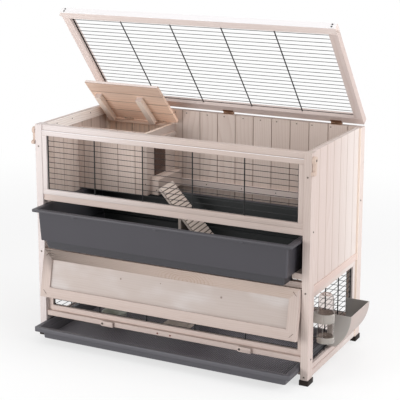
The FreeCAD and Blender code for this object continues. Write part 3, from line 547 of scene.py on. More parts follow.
wireBlack = moulded("coatedWire", (15, 16, 17), (28, 29, 30), (64, 64, 64), (0.35, 0.55), 0.03, specular=0.3)
footBlack = moulded("footRubber", (24, 16, 12), (36, 26, 21), (66, 54, 47), (0.5, 0.7), 0.12, specular=0.25)
drawerGrey = moulded("drawerPlastic", (55, 53, 59), (61, 59, 65), (78, 76, 82))
# painted shade: the drawer's band below the step is darker
drawerFootShade = moulded("drawerFootShade", (50, 49, 54), (55, 54, 59), (72, 71, 76))
# painted highlight: the drawer's rounded corners are lighter
drawerCornerHighlight = moulded("drawerCornerHighlight", (66, 64, 70), (73, 71, 77), (90, 88, 94))
# painted shade: the drawer's inside is near black, and its left end's inner face takes a less dark, lit copy
drawerInsideShade = moulded("drawerInside", (19, 23, 24), (25, 29, 30), (38, 41, 42), specular=0.28)
drawerInsideLitEnd = moulded("drawerFrontInside", (50, 50, 55), (58, 58, 63), (72, 72, 77))
trayGrey = moulded("trayPlastic", (76, 75, 80), (86, 84, 90), (106, 104, 109),
                   crease=(35, 40, 48.8, (46, 45, 49)))
# painted light: the tray's inside is a lighter copy of its plastic
trayInsideLit = moulded("trayInside", (84, 80, 86), (94, 90, 96), (112, 108, 114))
ribGrey = moulded("trayRibs", (132, 127, 135), (144, 139, 147), (158, 153, 161))
bowlGrey = moulded("bowlPlastic", (214, 218, 208), (230, 233, 224), (240, 240, 234), (0.3, 0.45), 0.04)
hopperGrey = moulded("hopperPlastic", (170, 165, 160), (186, 181, 176), (204, 199, 195), (0.4, 0.55))
hopperPale = moulded("hopperOuter", (179, 164, 158), (191, 176, 170), (205, 192, 186), (0.4, 0.55))
holderClear = moulded("holderPlastic", (204, 199, 193), (220, 215, 209), (230, 226, 221), (0.08, 0.18), 0.02,
                      clear=0.62, ior=1.12)
bottleClear = moulded("bottlePlastic", (240, 234, 232), (246, 241, 239), (250, 246, 245), (0.03, 0.08), 0.02,
                      clear=1.0, ior=1.08)
ringPink = moulded("bottleRing", (206, 190, 184), (222, 208, 203), (232, 222, 218), (0.15, 0.3), 0.02,
                   clear=0.45, ior=1.3)
smokedBrown = moulded("smokedPanel", (74, 52, 44), (86, 62, 53), (112, 88, 78), (0.12, 0.25), 0.02,
                      clear=0.25, ior=1.49)
bronzed = moulded("bronzedHinge", (138, 108, 88), (170, 138, 114), (204, 176, 150), (0.3, 0.5), 0.03,
                  scuff=0.4, metal=0.8)
paleHinge = moulded("paleHinge", (222, 192, 170), (236, 208, 187), (242, 218, 200), (0.45, 0.6), 0.03, scuff=0.3)
paleZinc = moulded("paleZinc", (198, 182, 174), (214, 199, 192), (224, 210, 204), (0.35, 0.5), 0.02, metal=0.2)
dullSteel = moulded("dullSteel", (84, 76, 70), (122, 114, 106), (160, 152, 146), (0.3, 0.5), 0.02,
                    scuff=0.3, metal=1.0)
brightSteel = moulded("spoutSteel", (168, 168, 170), (190, 190, 192), (210, 210, 210), (0.18, 0.3), 0.01,
                      scuff=0.2, metal=1.0)
rustyScrew = moulded("rustyScrew", (112, 48, 38), (140, 66, 52), (160, 96, 80), (0.45, 0.6), 0.03, metal=0.4)
darkNail = moulded("nailHead", (58, 46, 40), (88, 74, 66), (120, 104, 94), (0.4, 0.6), 0.03, metal=0.7)
# painted shade: the dark bottoms of the ramp's grooves
grooveShade = moulded("rampGroove", (84, 70, 62), (110, 94, 84), (130, 112, 100), (0.7, 0.85), 0.1)
print("materials ready")


# finishes for the nodes that keep their own shape
def dress(names, *finishes, pick=None):
    for name in names:
        paintFaces(nodes[name].data, finishes, pick)


# painted light: the front's top left corner, the sides' far ends, the left batten's inner face and the right
# front post's lower part are painted paler
leftPaintedLight = (0, 0.15, -0.5, (213, 204, 202))
leftInnerPaintedLight = (0, 0.15, -0.5, (255, 246, 240))
farPaintedLight = (1, -0.12, 0.27, (226, 217, 213))
farPinkPaintedLight = (1, -0.12, 0.27, (226, 206, 198))
lowPaintedLight = (2, 0.62, 0.45, (208, 193, 186))

# frames: how far from the middle the stiles stand, and the opening's foot and head
stiles = {"upper": (0.525, 0.603, 0.816), "lower": (0.525, 0.124, 0.336), "back": (0.525, 0.100, 0.315),
          "side": (0.203, 0.063, 0.315)}


def isStile(frameName, offset, height):
    edge, foot, head = stiles[frameName]
    return abs(offset) > edge and foot - margin < height < head + margin


# towards the middle of the house
def looksIn(c, n):
    return n.x * c.x < -leaning * abs(c.x)


# the stiles' faces that don't look out at the back take the paler pine, painted light
def backFramePart(c, n):
    if not isStile("back", c.x, c.z):
        return 0
    return 1 if n.y > facing else 2


dress(["lower_front_frame"], pine("railPine", "x"), pine("railPine", "z"),
      pick=lambda c, n: isStile("lower", c.x, c.z))
dress(["back_window_frame"], pine("railPine", "x"), pine("railPine", "z"), pine("paintedLightPine", "z"),
      pick=backFramePart)
dress(["left_window_frame", "right_window_frame"], pine("wallPine", "y", paintedLight=farPaintedLight),
      pine("wallPine", "z", paintedLight=farPaintedLight), pick=lambda c, n: isStile("side", c.y, c.z))

# posts and rails, with painted light: the left ends, far ends and the right front post's lower part are painted
# paler, and the back posts' inner faces and the centre brace take the paler pine
dress(["post_back_left", "post_back_right"], pine("palePine", "z"), pine("paintedLightPine", "z"),
      pick=lambda c, n: n.y < -facing or looksIn(c, n))
dress(["post_front_left"], pine("washedPine", "z", paintedLight=leftPaintedLight))
dress(["post_front_right"], pine("washedPine", "z", paintedLight=lowPaintedLight), pine("wallPine", "z", paintedLight=farPaintedLight),
      pick=lambda c, n: n.x > facing)
dress(["side_top_battens"], pine("washedPine", "y", paintedLight=leftPaintedLight),
      pine("washedPine", "y", paintedLight=leftInnerPaintedLight), pick=lambda c, n: n.x > facing and c.x < 0)
dress(["side_mid_rails"], pine("pinkPine", "y", paintedLight=farPinkPaintedLight))
dress(["side_bottom_rails"], pine("wallPine", "y", paintedLight=farPaintedLight))
dress(["drawer_runners", "tray_runners"], pine("shadedPine", "y"))
dress(["centre_brace"], pine("paintedLightPine", "y"))
dress(["back_top_rail", "back_rails"], pine("washedPine", "x"))
dress(["front_shelf_rail", "front_mid_rail", "front_bottom_rail"], pine("railPine", "x"))
dress(["front_top_rail"], pine("washedPine", "x", paintedLight=leftPaintedLight))
dress(["back_inner_batten"], pine("palePine", "x"))

# walls: the inner faces take the shaded pine, painted shade, and outside the far ends are painted paler, painted
# light
sideBoards = {"boardWidth": 0.0695, "boardStart": 0.03475}
dress(["left_wall_boards", "right_wall_boards"], pine("wallPine", "z", paintedLight=farPaintedLight, **sideBoards),
      pine("shadedPine", "z", **sideBoards), pick=looksIn)
backBoards = {"boardWidth": 0.0793, "boardStart": 0.03965}
# painted light: the back boards' inner faces are paler and warmer behind the nest
nestBackPaintedLight = (0, -0.2, -0.3, (255, 227, 205))
dress(["back_wall_boards"], pine("shadedPine", "zAlongX", paintedLight=nestBackPaintedLight, **backBoards),
      pine("wallPine", "zAlongX", **backBoards), pick=lambda c, n: n.y > facing)

# nest box
nestBoards = {"boardWidth": 0.0793, "boardStart": -0.28865}
# painted light: the lid boards are paler and warmer towards the hinge
nestLidBoards = {"boardWidth": 0.06025, "boardStart": -0.65203, "paintedLight": (2, 0.95, 0.86, (252, 216, 192))}
nestLidEdge = 0.012
# painted light: the side wall's upper part is paler
nestWallPaintedLight = (2, 0.79, 0.84, (208, 190, 176))
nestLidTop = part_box("nest_lid_boards")[1][2]


# an end that looks up and to the front while the lid is raised
def raisedEnd(n):
    return n.y < -facing and n.z > facing


dress(["nest_front"], pine("shadedPine", "zAlongX", **nestBoards))
# the side wall takes the greyer pine, painted shade, and its top faces the paler pine, painted light
dress(["nest_side_wall"], pine("deepShadePine", "y", paintedLight=nestWallPaintedLight), pine("paintedLightPine", "y"),
      pick=lambda c, n: n.z > facing)
# the door rails' sides take the greyer pine and their front and top faces the shaded one, painted shade
dress(["nest_door_rails"], pine("deepShadePine", "y"), pine("shadedPine", "y"),
      pick=lambda c, n: n.y < -facing or n.z > facing)
dress(["nest_floor", "nest_back_rail"], pine("nestPine", "x"))
# the lid boards' raised end takes the pale pine, a painted highlight
dress(["nest_lid_boards"], pine("nestPine", "nestLidX", **nestLidBoards), pine("palePine", "nestLidX"),
      pick=lambda c, n: raisedEnd(n) and c.z > nestLidTop - nestLidEdge)
# the battens take the paler pine, painted light, and their raised ends a darker one
dress(["nest_lid_battens"], pine("paintedLightPine", "nestLidY"), pine("railPine", "nestLidY"),
      pick=lambda c, n: raisedEnd(n))

# lid: the sides stand between the front and back members, the front one's edge has a painted highlight, and the
# sides are painted paler towards the left, painted light
lidFrameLook = {"sideX": 0.5419, "sideY": (-0.2341, 0.2261), "edgeUp": 0.3, "edgeFront": -0.85,
                "paintedLight": (0, 0.3, -0.5, (224, 208, 202))}


def lidPart(c, n):
    y = shutPlace(c, lidTurn)[0]
    front, back = lidFrameLook["sideY"]
    if abs(c.x) > lidFrameLook["sideX"] and front < y < back:
        return 1
    if y > 0:
        return 2
    return 3 if n.z > lidFrameLook["edgeUp"] or n.y < lidFrameLook["edgeFront"] else 0


dress(["lid_frame"], pine("palePine", "lidX"), pine("wallPine", "lidY", paintedLight=lidFrameLook["paintedLight"]),
      pine("wallPine", "lidX"), pine("edgeHighlightPine", "lidX"), pick=lidPart)

# flap: mitred ends, and a top rail of its own
flapLook = {"halfWidth": 0.543, "foot": 0.172, "head": 0.362, "middle": 0.267,
            "spots": ((-192, 293, 5), (235, 287, 6), (-20, 300, 3))}


def flapPart(c, n):
    height = shutPlace(c, flapTurn)[1]
    if flapLook["halfWidth"] - abs(c.x) < min(height - flapLook["foot"], flapLook["head"] - height):
        return 1
    return 2 if height > flapLook["middle"] else 0


dress(["flap_panel"], pine("flapPine", "flapX", spots=flapLook["spots"]))

# ramp: the bottoms of its grooves are painted dark, painted shade
rampLook = {"top": (-0.142, -0.006, 0.608), "turn": 6, "slope": 49, "groove": (-0.0035, -0.0004),
            "plain": 0.004}


def rampGroove(c, n):
    turn, slope = math.radians(rampLook["turn"]), math.radians(rampLook["slope"])
    out, side, up = (a - b for a, b in zip(c, rampLook["top"]))
    out = out * math.cos(turn) + side * math.sin(turn)
    depth = out * math.sin(slope) + up * math.cos(slope)
    along = out * math.cos(slope) - up * math.sin(slope)
    deep, shallow = rampLook["groove"]
    return deep < depth < shallow and along > rampLook["plain"]


dress(["ramp"], pine("rampPine", "x"), grooveShade, pick=rampGroove)

# wire, bottle and hinges
nestHingeBelow = 0.83
dress(["lid_mesh", "upper_front_mesh", "lower_front_mesh", "left_window_mesh", "right_window_mesh",
       "back_window_mesh"], wireBlack)
dress(["water_bottle"], bottleClear)
dress(["lid_hinge_leaves"], bronzed)
dress(["hinge_fixed_leaves"], bronzed, paleHinge, pick=lambda c, n: c.z < nestHingeBelow)
dress(["nest_lid_hinge_leaves"], paleHinge)
dress(["hinge_pins"], dullSteel)
print("nodes dressed")


# moulded and wooden parts with eased edges, in place of the plain solids
drawerLook = {"middleY": -0.107, "rimZ": 0.5405, "floorZ": 0.46, "footZ": 0.427, "leftEnd": -0.4, "corner": 0.3}
trayLook = {"middleY": -0.113, "rimZ": 0.064}
hopperLook = {"outward": 0.25, "along": 0.3}
latticeEdge = 0.015
inward = 2 * mm


def wallInside(c, n, middleY):
    return abs(n.z) < facing and n.x * c.x + n.y * (c.y - middleY) < -inward


# the inside is painted dark, painted shade, with a lit copy on the left end's inner face; the band below the
# step gets painted shade and the rounded corners a painted highlight
def drawerPart(c, n):
    floor = n.z > facing and c.z < drawerLook["floorZ"]
    if c.z <= drawerLook["rimZ"] and (floor or wallInside(c, n, drawerLook["middleY"])):
        return 2 if n.x > facing and c.x < drawerLook["leftEnd"] else 1
    if c.z < drawerLook["footZ"]:
        return 3
    return 4 if min(abs(n.x), abs(n.y)) > drawerLook["corner"] else 0


# the inside faces take the lighter copy, painted light
def trayPart(c, n):
    return c.z < trayLook["rimZ"] and (n.z > facing or wallInside(c, n, trayLook["middleY"]))


# the trough's long outer face
def hopperOuter(c, n):
    return n.x > hopperLook["outward"] and abs(n.y) < hopperLook["along"] and n.z < facing


# the lattice's upper front edge has a painted highlight
def latticePart(c, n):
    if n.z > leaning and n.y < -leaning and c.z > stiles["upper"][2] + latticeEdge:
        return 2
    return int(isStile("upper", c.x, c.z))


easedPiece("litter_drawer", "drawer_tub", "litter_drawer", "drawer_plastic",
           drawerGrey, drawerInsideShade, drawerInsideLitEnd, drawerFootShade, drawerCornerHighlight, ease=1.4, pick=drawerPart)
easedPiece("base_tray", "tray_pan", "base_tray", "tray_plastic", trayGrey, trayInsideLit, ease=1.4, pick=trayPart)
easedPiece("feed_bowl", "bowl_eased", "base_tray", "bowl_plastic", bowlGrey, ease=1.3, segments=3)
easedPiece("hay_hopper", "hopper_trough", "carcass", "hopper_plastic", hopperGrey, hopperPale, ease=1.0,
           pick=hopperOuter)
easedPiece("bottle_holder", "bottle_cup", "carcass", "holder_plastic", holderClear, ease=0.6)
easedPiece("foot_caps", "foot_shoes", "carcass", "foot_plastic", footBlack, ease=1.6, segments=3)
easedPiece("nest_door", "nest_slide", "nest_door", "smoked_plastic", smokedBrown, ease=0.8)
easedPiece("flap_frame", "flap_members", "front_flap", "pine", pine("washedPine", "flapX"),
           pine("washedPine", "flapZ"), pine("flapRailPine", "flapX"), ease=1.0, pick=flapPart)
for side in ("left", "right"):
    easedPiece("turn_button_" + side, "button_" + side, side + "_turn_button", "pine", pine("railPine", "x"),
               ease=1.2)
    easedPiece("catch_" + side, "hook_" + side, side + "_catch", "pine", pine("catchPine", "z"), ease=1.2)
easedPiece("upper_front_frame", "lattice_frame", "carcass", "pine", pine("washedPine", "x", paintedLight=leftPaintedLight),
           pine("washedPine", "z", paintedLight=leftPaintedLight), pine("edgeHighlightPine", "x"), ease=2.6, pick=latticePart)
print("eased parts ready")


# screws with a domed head and a cross recess, modelled once, in shares of the height and the radius
headLook = {"sides": 20, "topEdge": 0.9, "dome": 0.55, "domeSteps": 3, "crossLong": 0.62, "crossThin": 0.15}
# radius, height and recess
screwSizes = {"smallScrew": (3.4, 1.2, 0.7), "pivotScrew": (4.5, 1.2, 0.8), "nail": (2.3, 0.8, 0.25),
              "flushScrew": (2.8, 0.5, 0.4)}


def makeScrew(name, radius, height, recess):
    head = addRound(name, radius, height, headLook["sides"], (0, 0, height / 2))
    selectEdges(head, lambda a, b: min(a.z, b.z) > headLook["topEdge"] * height * mm)
    bpy.ops.mesh.bevel(offset=headLook["dome"] * height * mm, segments=headLook["domeSteps"], affect="EDGES")
    objectMode()
    long, thin = headLook["crossLong"] * radius, headLook["crossThin"] * radius
    for reachX, reachY in ((long, thin), (thin, long)):
        cutter = addBlock("recess", (-reachX, -reachY, height - recess), (reachX, reachY, 2 * height))
        pickOnly(head)
        cut = head.modifiers.new("cross", "BOOLEAN")
        cut.operation = "DIFFERENCE"
        cut.object = cutter
        bpy.ops.object.modifier_apply(modifier=cut.name)
        removeMaster(cutter)
    smoothShade()
    return head


smallScrew, pivotScrew, nail, flushScrew = (makeScrew(name, *sizes) for name, sizes in screwSizes.items())
toFront, toUp, toDown = (0, -1, 0), (0, 0, 1), (0, 0, -1)

# screws in the posts, catches, turn-buttons and centre brace
screwLook = {"postX": 560, "postFaceY": 270, "postZ": (772, 348.5, 31.5), "sideX": 575, "sideY": 243.6,
             "sideZ": (570.5, 94), "catch": (587.6, -259, 833), "buttonX": (-283, 304),
             "buttonFace": (-274.6, 95), "braceX": (-44.5, 10.5), "braceFace": (-264, 93)}
postScrews = []
for sx in (-1, 1):
    for sy in (-1, 1):
        postScrews += [((sx * screwLook["postX"], sy * screwLook["postFaceY"], z), (0, sy, 0))
                       for z in screwLook["postZ"]]
        postScrews += [((sx * screwLook["sideX"], sy * screwLook["sideY"], z), (sx, 0, 0))
                       for z in screwLook["sideZ"]]
catchX, catchY, catchZ = screwLook["catch"]
pivots = [((sx * catchX, catchY, catchZ), (sx, 0, 0)) for sx in (-1, 1)]
pivots += [((x, *screwLook["buttonFace"]), toFront) for x in screwLook["buttonX"]]
screws = joinAll([scatter(smallScrew, "post_screws", postScrews), scatter(pivotScrew, "pivots", pivots)],
                 "post_screws")
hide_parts("wood_screws")
finishPiece(screws, "carcass", "steel", dullSteel)
braceScrews = [((x, *screwLook["braceFace"]), toFront) for x in screwLook["braceX"]]
finishPiece(scatter(smallScrew, "brace_screws", braceScrews), "carcass", "steel", rustyScrew)

# nails and screws inside the house
nailLook = {"backX": (-470, -390, -322, -232, -180, -86, -10, 74, 150, 220, 305, 369, 447),
            "backFace": (240, 848), "battenX": (-82, 76, 226, 380, 505), "battenFace": (226, 562),
            "sideX": 545, "sideY": (88, -50, -160), "sideZ": 844,
            "nest": ((-242, 4, 594), (-242, 4, 760), (-206, 30, 568))}
nails = [((x, *nailLook["backFace"]), toFront) for x in nailLook["backX"]]
nails += [((x, *nailLook["battenFace"]), toFront) for x in nailLook["battenX"]]
for sx in (-1, 1):
    nails += [((sx * nailLook["sideX"], y, nailLook["sideZ"]), (-sx, 0, 0)) for y in nailLook["sideY"]]
nails += [(place, toFront) for place in nailLook["nest"]]
finishPiece(scatter(nail, "board_nails", nails), "carcass", "steel", darkNail)

# lid: corner screws and catch pegs, modelled shut
lidLook = {"screwX": 558.5, "screwZ": (869.4, 880.6), "frontY": -267, "peg": (575, -247, 866), "pegRadius": 4,
           "pegLength": 10, "pegSides": 20, "pegEase": 1.2, "pegSteps": 3}
corners = [((sx * lidLook["screwX"], lidLook["frontY"], z), toFront)
           for sx in (-1, 1) for z in lidLook["screwZ"]]
lidScrews = turnOpen(scatter(smallScrew, "lid_screws", corners), lidTurn)
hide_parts("lid_fasteners")
finishPiece(lidScrews, "lid", "steel", wireBlack)
peg = addRound("peg", lidLook["pegRadius"], lidLook["pegLength"], lidLook["pegSides"],
               (0, 0, lidLook["pegLength"] / 2))
softenEdges(peg, lidLook["pegEase"], lidLook["pegSteps"])
pegX, pegY, pegZ = lidLook["peg"]
pegs = scatter(peg, "lid_pegs", [((sx * pegX, pegY, pegZ), (sx, 0, 0)) for sx in (-1, 1)])
finishPiece(turnOpen(pegs, lidTurn), "lid", "steel", paleZinc)

# flush screws in the hinge leaves, and nails in the nest lid
hingeLook = {"lidX": (-462, 0, 462), "lidReach": 14, "lidY": 253.5, "fixedZ": 859.4, "leafZ": 859.6,
             "sink": 0.42, "nestX": (-440.5, -283.5), "nestReach": 12, "nestFixed": (233, 802.4),
             "nestLeaf": (211.5, 802.6)}
nestLidLook = {"nailX": (-509, -318.2), "nailY": (66, 127, 187), "topZ": 816}
sink = hingeLook["sink"]
lidSpots = [x + side * hingeLook["lidReach"] for x in hingeLook["lidX"] for side in (-1, 1)]
nestSpots = [x + side * hingeLook["nestReach"] for x in hingeLook["nestX"] for side in (-1, 1)]
fixedY, fixedZ = hingeLook["nestFixed"]
leafY, leafZ = hingeLook["nestLeaf"]
fixed = [((x, hingeLook["lidY"], hingeLook["fixedZ"] - sink), toUp) for x in lidSpots]
fixed += [((x, fixedY, fixedZ - sink), toUp) for x in nestSpots]
finishPiece(scatter(flushScrew, "hinge_screws", fixed), "carcass", "bronze", bronzed)
leaves = [((x, hingeLook["lidY"], hingeLook["leafZ"] + sink), toDown) for x in lidSpots]
leaves = turnOpen(scatter(flushScrew, "lid_hinge_screws", leaves), lidTurn)
finishPiece(leaves, "lid", "bronze", bronzed)
leaves = [((x, leafY, leafZ + sink), toDown) for x in nestSpots]
leaves = turnOpen(scatter(flushScrew, "nest_hinge_screws", leaves), nestLidTurn)
finishPiece(leaves, "nest_lid", "bronze", bronzed)
lidNails = [((x, y, nestLidLook["topZ"]), toUp) for x in nestLidLook["nailX"] for y in nestLidLook["nailY"]]
lidNails = turnOpen(scatter(nail, "nest_lid_nails", lidNails), nestLidTurn)
finishPiece(lidNails, "nest_lid", "steel", darkNail)
for master in (smallScrew, pivotScrew, nail, flushScrew, peg):
    removeMaster(master)
print("screws and nails ready")

# flap: a staple across each mitre, modelled shut
stapleLook = {"midX": 523, "midZ": (192, 342), "faceY": -276, "length": 21, "width": 1.4, "proud": 0.7,
              "sunk": 0.5, "leg": 6, "legFrom": 0.86, "cuts": 7, "ease": 0.25, "lean": 45}
halfLong, halfWide = stapleLook["length"] / 2, stapleLook["width"] / 2
staple = addBlock("staple", (-halfLong, -halfWide, -stapleLook["sunk"]),
                  (halfLong, halfWide, stapleLook["proud"]))
bpy.ops.object.mode_set(mode="EDIT")
bpy.ops.mesh.select_all(action="SELECT")
bpy.ops.mesh.subdivide(number_cuts=stapleLook["cuts"])
selectFaces(staple, lambda c, n: n.z < -straight and abs(c.x) > stapleLook["legFrom"] * halfLong * mm)
bpy.ops.mesh.extrude_region_move(TRANSFORM_OT_translate={"value": (0, 0, -stapleLook["leg"] * mm)})
objectMode()
softenEdges(staple, stapleLook["ease"])
faceOn = Matrix.Rotation(math.radians(90), 4, "X")
staples = []
for sx in (-1, 1):
    for z in stapleLook["midZ"]:
        one = copyOf(staple, "flap_staples")
        upper = z == max(stapleLook["midZ"])
        lean = stapleLook["lean"] if (sx < 0) == upper else -stapleLook["lean"]
        middle = Matrix.Translation((sx * stapleLook["midX"] * mm, stapleLook["faceY"] * mm, z * mm))
        one.rotation_mode = "XYZ"
        one.matrix_world = middle @ faceOn @ Matrix.Rotation(math.radians(lean), 4, "Z")
        applyPlace()
        staples.append(one)
removeMaster(staple)
finishPiece(turnOpen(joinAll(staples, "flap_staples"), flapTurn), "front_flap", "steel", darkNail)

# tray: ribs across the floor
ribLook = {"pitch": 8.5, "width": 4.2, "height": 1.3, "sunk": 0.3, "round": 1.1, "roundSteps": 2,
           "longEdge": 100, "halfX": 504, "lowY": -329, "highY": 102, "floorZ": 22}
rib = addBlock("tray_ribs", (-ribLook["halfX"], ribLook["lowY"], ribLook["floorZ"] - ribLook["sunk"]),
               (-ribLook["halfX"] + ribLook["width"], ribLook["highY"], ribLook["floorZ"] + ribLook["height"]))
selectEdges(rib, lambda a, b: min(a.z, b.z) > ribLook["floorZ"] * mm
            and abs(a.y - b.y) > ribLook["longEdge"] * mm)
bpy.ops.mesh.bevel(offset=ribLook["round"] * mm, segments=ribLook["roundSteps"], affect="EDGES")
objectMode()
row = rib.modifiers.new("row", "ARRAY")
row.use_relative_offset = False
row.use_constant_offset = True
row.constant_offset_displace = (ribLook["pitch"] * mm, 0, 0)
row.count = int((2 * ribLook["halfX"] - ribLook["width"]) / ribLook["pitch"]) + 1
pickOnly(rib)
bpy.ops.object.modifier_apply(modifier=row.name)
smoothShade()
finishPiece(rib, "base_tray", "tray_plastic", ribGrey)


# opens a block or a round from top to bottom, leaving a wall
def hollowOut(obj, wall, isMiddle):
    selectFaces(obj, lambda c, n: abs(n.z) > straight)
    bpy.ops.mesh.inset(thickness=wall * mm)
    selectFaces(obj, lambda c, n: abs(n.z) > straight and isMiddle(c))
    bpy.ops.mesh.bridge_edge_loops()
    objectMode()


# drawer: a bead round the mouth and small tabs under the front lip
beadLook = {"halfX": 524.5, "lowY": -346.5, "highY": 132.5, "rimZ": 543, "corner": 9, "cornerSteps": 6,
            "width": 3, "height": 1.5, "sunk": 0.4, "ease": 0.5, "reach": 0.1}
bead = addBlock("drawer_bead", (-beadLook["halfX"], beadLook["lowY"], beadLook["rimZ"] - beadLook["sunk"]),
                (beadLook["halfX"], beadLook["highY"], beadLook["rimZ"] + beadLook["height"]))
selectEdges(bead, lambda a, b: abs(a.z - b.z) > margin)
bpy.ops.mesh.bevel(offset=beadLook["corner"] * mm, segments=beadLook["cornerSteps"], affect="EDGES")
hollowOut(bead, beadLook["width"],
          lambda c: max(abs(c.x), abs(c.y - drawerLook["middleY"])) < beadLook["reach"])
softenEdges(bead, beadLook["ease"])
finishPiece(bead, "litter_drawer", "drawer_plastic", drawerGrey)
tabLook = {"x": (-353, -2, 350), "width": 16, "proud": 1.1, "sunk": 3, "below": 3, "above": 2, "ease": 0.8,
           "easeSteps": 3, "lipY": -358, "lipZ": 533}
tabs = []
for x in tabLook["x"]:
    low = (x - tabLook["width"] / 2, tabLook["lipY"] - tabLook["proud"], tabLook["lipZ"] - tabLook["below"])
    high = (x + tabLook["width"] / 2, tabLook["lipY"] + tabLook["sunk"], tabLook["lipZ"] + tabLook["above"])
    tabs.append(softenEdges(addBlock("drawer_tabs", low, high), tabLook["ease"], tabLook["easeSteps"]))
finishPiece(joinAll(tabs, "drawer_tabs"), "litter_drawer", "drawer_plastic", drawerGrey)

# bottle: a foot ring on its dome
bottleLook = {"middle": (608.1, -188), "ringZ": 327.5, "outer": 17.5, "inner": 14.0, "tall": 5.0, "sides": 40,
              "ease": 0.8}
midX, midY = bottleLook["middle"]
ring = addRound("bottle_ring", bottleLook["outer"], bottleLook["tall"], bottleLook["sides"],
                (midX, midY, bottleLook["ringZ"] + bottleLook["tall"] / 2))
hollowOut(ring, bottleLook["outer"] - bottleLook["inner"],
          lambda c: (c.xy - Vector((midX, midY)) * mm).length < mm)
softenEdges(ring, bottleLook["ease"])
finishPiece(ring, "water_bottle", "bottle_plastic", ringPink)

# cup: a steel spout from its foot into the run, and a nut round it
spoutLook = {"cupZ": 150, "radius": 4, "sides": 20, "wall": 0.8, "mouth": 4, "drop": 2, "bend": 10, "turn": 86,
             "steps": 10, "reach": 62, "ease": 0.3, "nutRadius": 8.5, "nutTall": 6, "nutSides": 6,
             "nutEase": 0.7}
dropZ = spoutLook["cupZ"] - spoutLook["drop"]
spout = addRound("drinking_spout", spoutLook["radius"], spoutLook["drop"], spoutLook["sides"],
                 (midX, midY, spoutLook["cupZ"] - spoutLook["drop"] / 2))
selectFaces(spout, lambda c, n: n.z < -straight)
bpy.ops.mesh.spin(steps=spoutLook["steps"], angle=math.radians(spoutLook["turn"]), axis=(0, 1, 0),
                  center=((midX - spoutLook["bend"]) * mm, midY * mm, dropZ * mm))
lean = math.radians(90 - spoutLook["turn"])
reach = (-spoutLook["reach"] * math.cos(lean) * mm, 0, -spoutLook["reach"] * math.sin(lean) * mm)
bpy.ops.mesh.extrude_region_move(TRANSFORM_OT_translate={"value": reach})
bpy.ops.mesh.inset(thickness=spoutLook["wall"] * mm)
bpy.ops.mesh.extrude_region_move(TRANSFORM_OT_translate={"value": (spoutLook["mouth"] * mm, 0, 0)})
bpy.ops.mesh.select_all(action="SELECT")
bpy.ops.mesh.remove_doubles(threshold=weldGap)
bpy.ops.mesh.normals_make_consistent(inside=False)
objectMode()
softenEdges(spout, spoutLook["ease"])
nut = addRound("spout_nut", spoutLook["nutRadius"], spoutLook["nutTall"], spoutLook["nutSides"],
               (midX, midY, spoutLook["cupZ"] - spoutLook["nutTall"] / 2))
softenEdges(nut, spoutLook["nutEase"])
finishPiece(joinAll([spout, nut], "drinking_spout"), "carcass", "steel", brightSteel)
print("small parts ready")


# stage: white floor, soft lamps, camera at the photograph's angle
stageLook = {"floorSize": 40, "floorTone": (0.9, 0.9, 0.9, 1), "glowStretch": (0.8, 1.0, 0.0), "near": 1.2,
             "far": 3.2, "glow": (0.35, 0.65), "ambient": 0.6, "aim": (0, 0, 0.5),
             "lamps": {"left": ((-1.7, -3.1, 1.0), 1.8, 62), "right": ((3.9, -0.2, 2.2), 2.4, 84),
                       "top": ((0.2, 0.2, 4.0), 2.2, 32)}}


# what the eye sees, straight or through a shine, against what only lights the part
def seenRays(kit):
    rays = kit.add("ShaderNodeLightPath").outputs
    shine = kit.math("MAXIMUM", rays["Is Glossy Ray"], rays["Is Transmission Ray"])
    return kit.math("MAXIMUM", rays["Is Camera Ray"], shine)


def mixShaders(kit, share, first, second, outKind):
    both = kit.add("ShaderNodeMixShader")
    for socket, source in zip(both.inputs, (share, first.outputs[0], second.outputs[0])):
        kit.link(source, socket)
    kit.link(both.outputs[0], kit.add(outKind).inputs[0])


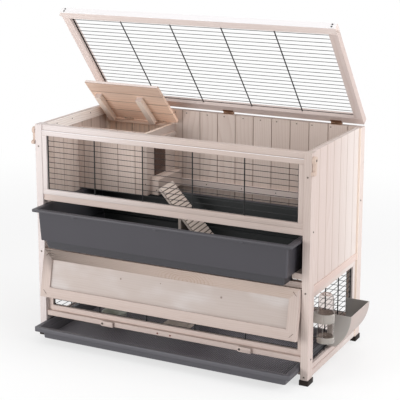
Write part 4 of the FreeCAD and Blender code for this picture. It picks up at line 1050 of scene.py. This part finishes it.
clearSelection()
bpy.ops.mesh.primitive_plane_add(size=stageLook["floorSize"])
floor = bpy.context.object
floor.name = "floor"
floorMaterial = bpy.data.materials.new("whiteFloor")
floorMaterial.use_nodes = True
floorMaterial.node_tree.nodes.clear()
kit = Nodes(floorMaterial.node_tree)
matt = kit.add("ShaderNodeBsdfDiffuse")
matt.inputs[0].default_value = stageLook["floorTone"]
place = kit.add("ShaderNodeTexCoord").outputs["Object"]
away = kit.vector("LENGTH", kit.vector("MULTIPLY", place, stageLook["glowStretch"]))
glowing = kit.math("MULTIPLY_ADD", kit.smooth(away, stageLook["near"], stageLook["far"]), *stageLook["glow"])
mixShaders(kit, kit.math("MULTIPLY", seenRays(kit), glowing), matt, kit.add("ShaderNodeEmission"),
           "ShaderNodeOutputMaterial")
floor.data.materials.append(floorMaterial)

world = bpy.data.worlds.new("studio")
scene.world = world
world.use_nodes = True
world.node_tree.nodes.clear()
kit = Nodes(world.node_tree)
soft, white = kit.add("ShaderNodeBackground"), kit.add("ShaderNodeBackground")
for background in (soft, white):
    background.inputs[0].default_value = (1, 1, 1, 1)
soft.inputs[1].default_value = stageLook["ambient"]
mixShaders(kit, seenRays(kit), soft, white, "ShaderNodeOutputWorld")

for name, (spot, size, power) in stageLook["lamps"].items():
    lampData = bpy.data.lights.new(name, "AREA")
    lampData.shape = "DISK"
    lampData.size = size
    lampData.energy = power
    lamp = bpy.data.objects.new(name, lampData)
    scene.collection.objects.link(lamp)
    lamp.location = spot
    lamp.rotation_euler = (Vector(stageLook["aim"]) - Vector(spot)).to_track_quat("-Z", "Y").to_euler()

# the focal length is in pixels of the photograph
cameraSet = {"place": (2.1106, -4.1352, 1.7982), "yaw": 27.0, "pitch": 12.7, "focal": 1232.9, "pixels": 400,
             "sensor": 36, "shift": -0.12}
cameraData = bpy.data.cameras.new("camera")
cameraData.sensor_width = cameraSet["sensor"]
cameraData.lens = cameraSet["focal"] / cameraSet["pixels"] * cameraSet["sensor"]
cameraData.shift_y = cameraSet["shift"]
camera = bpy.data.objects.new("camera", cameraData)
scene.collection.objects.link(camera)
camera.location = cameraSet["place"]
camera.rotation_euler = (math.radians(90 - cameraSet["pitch"]), 0, math.radians(cameraSet["yaw"]))
scene.camera = camera
scene.view_settings.view_transform = "Standard"
print("stage ready")
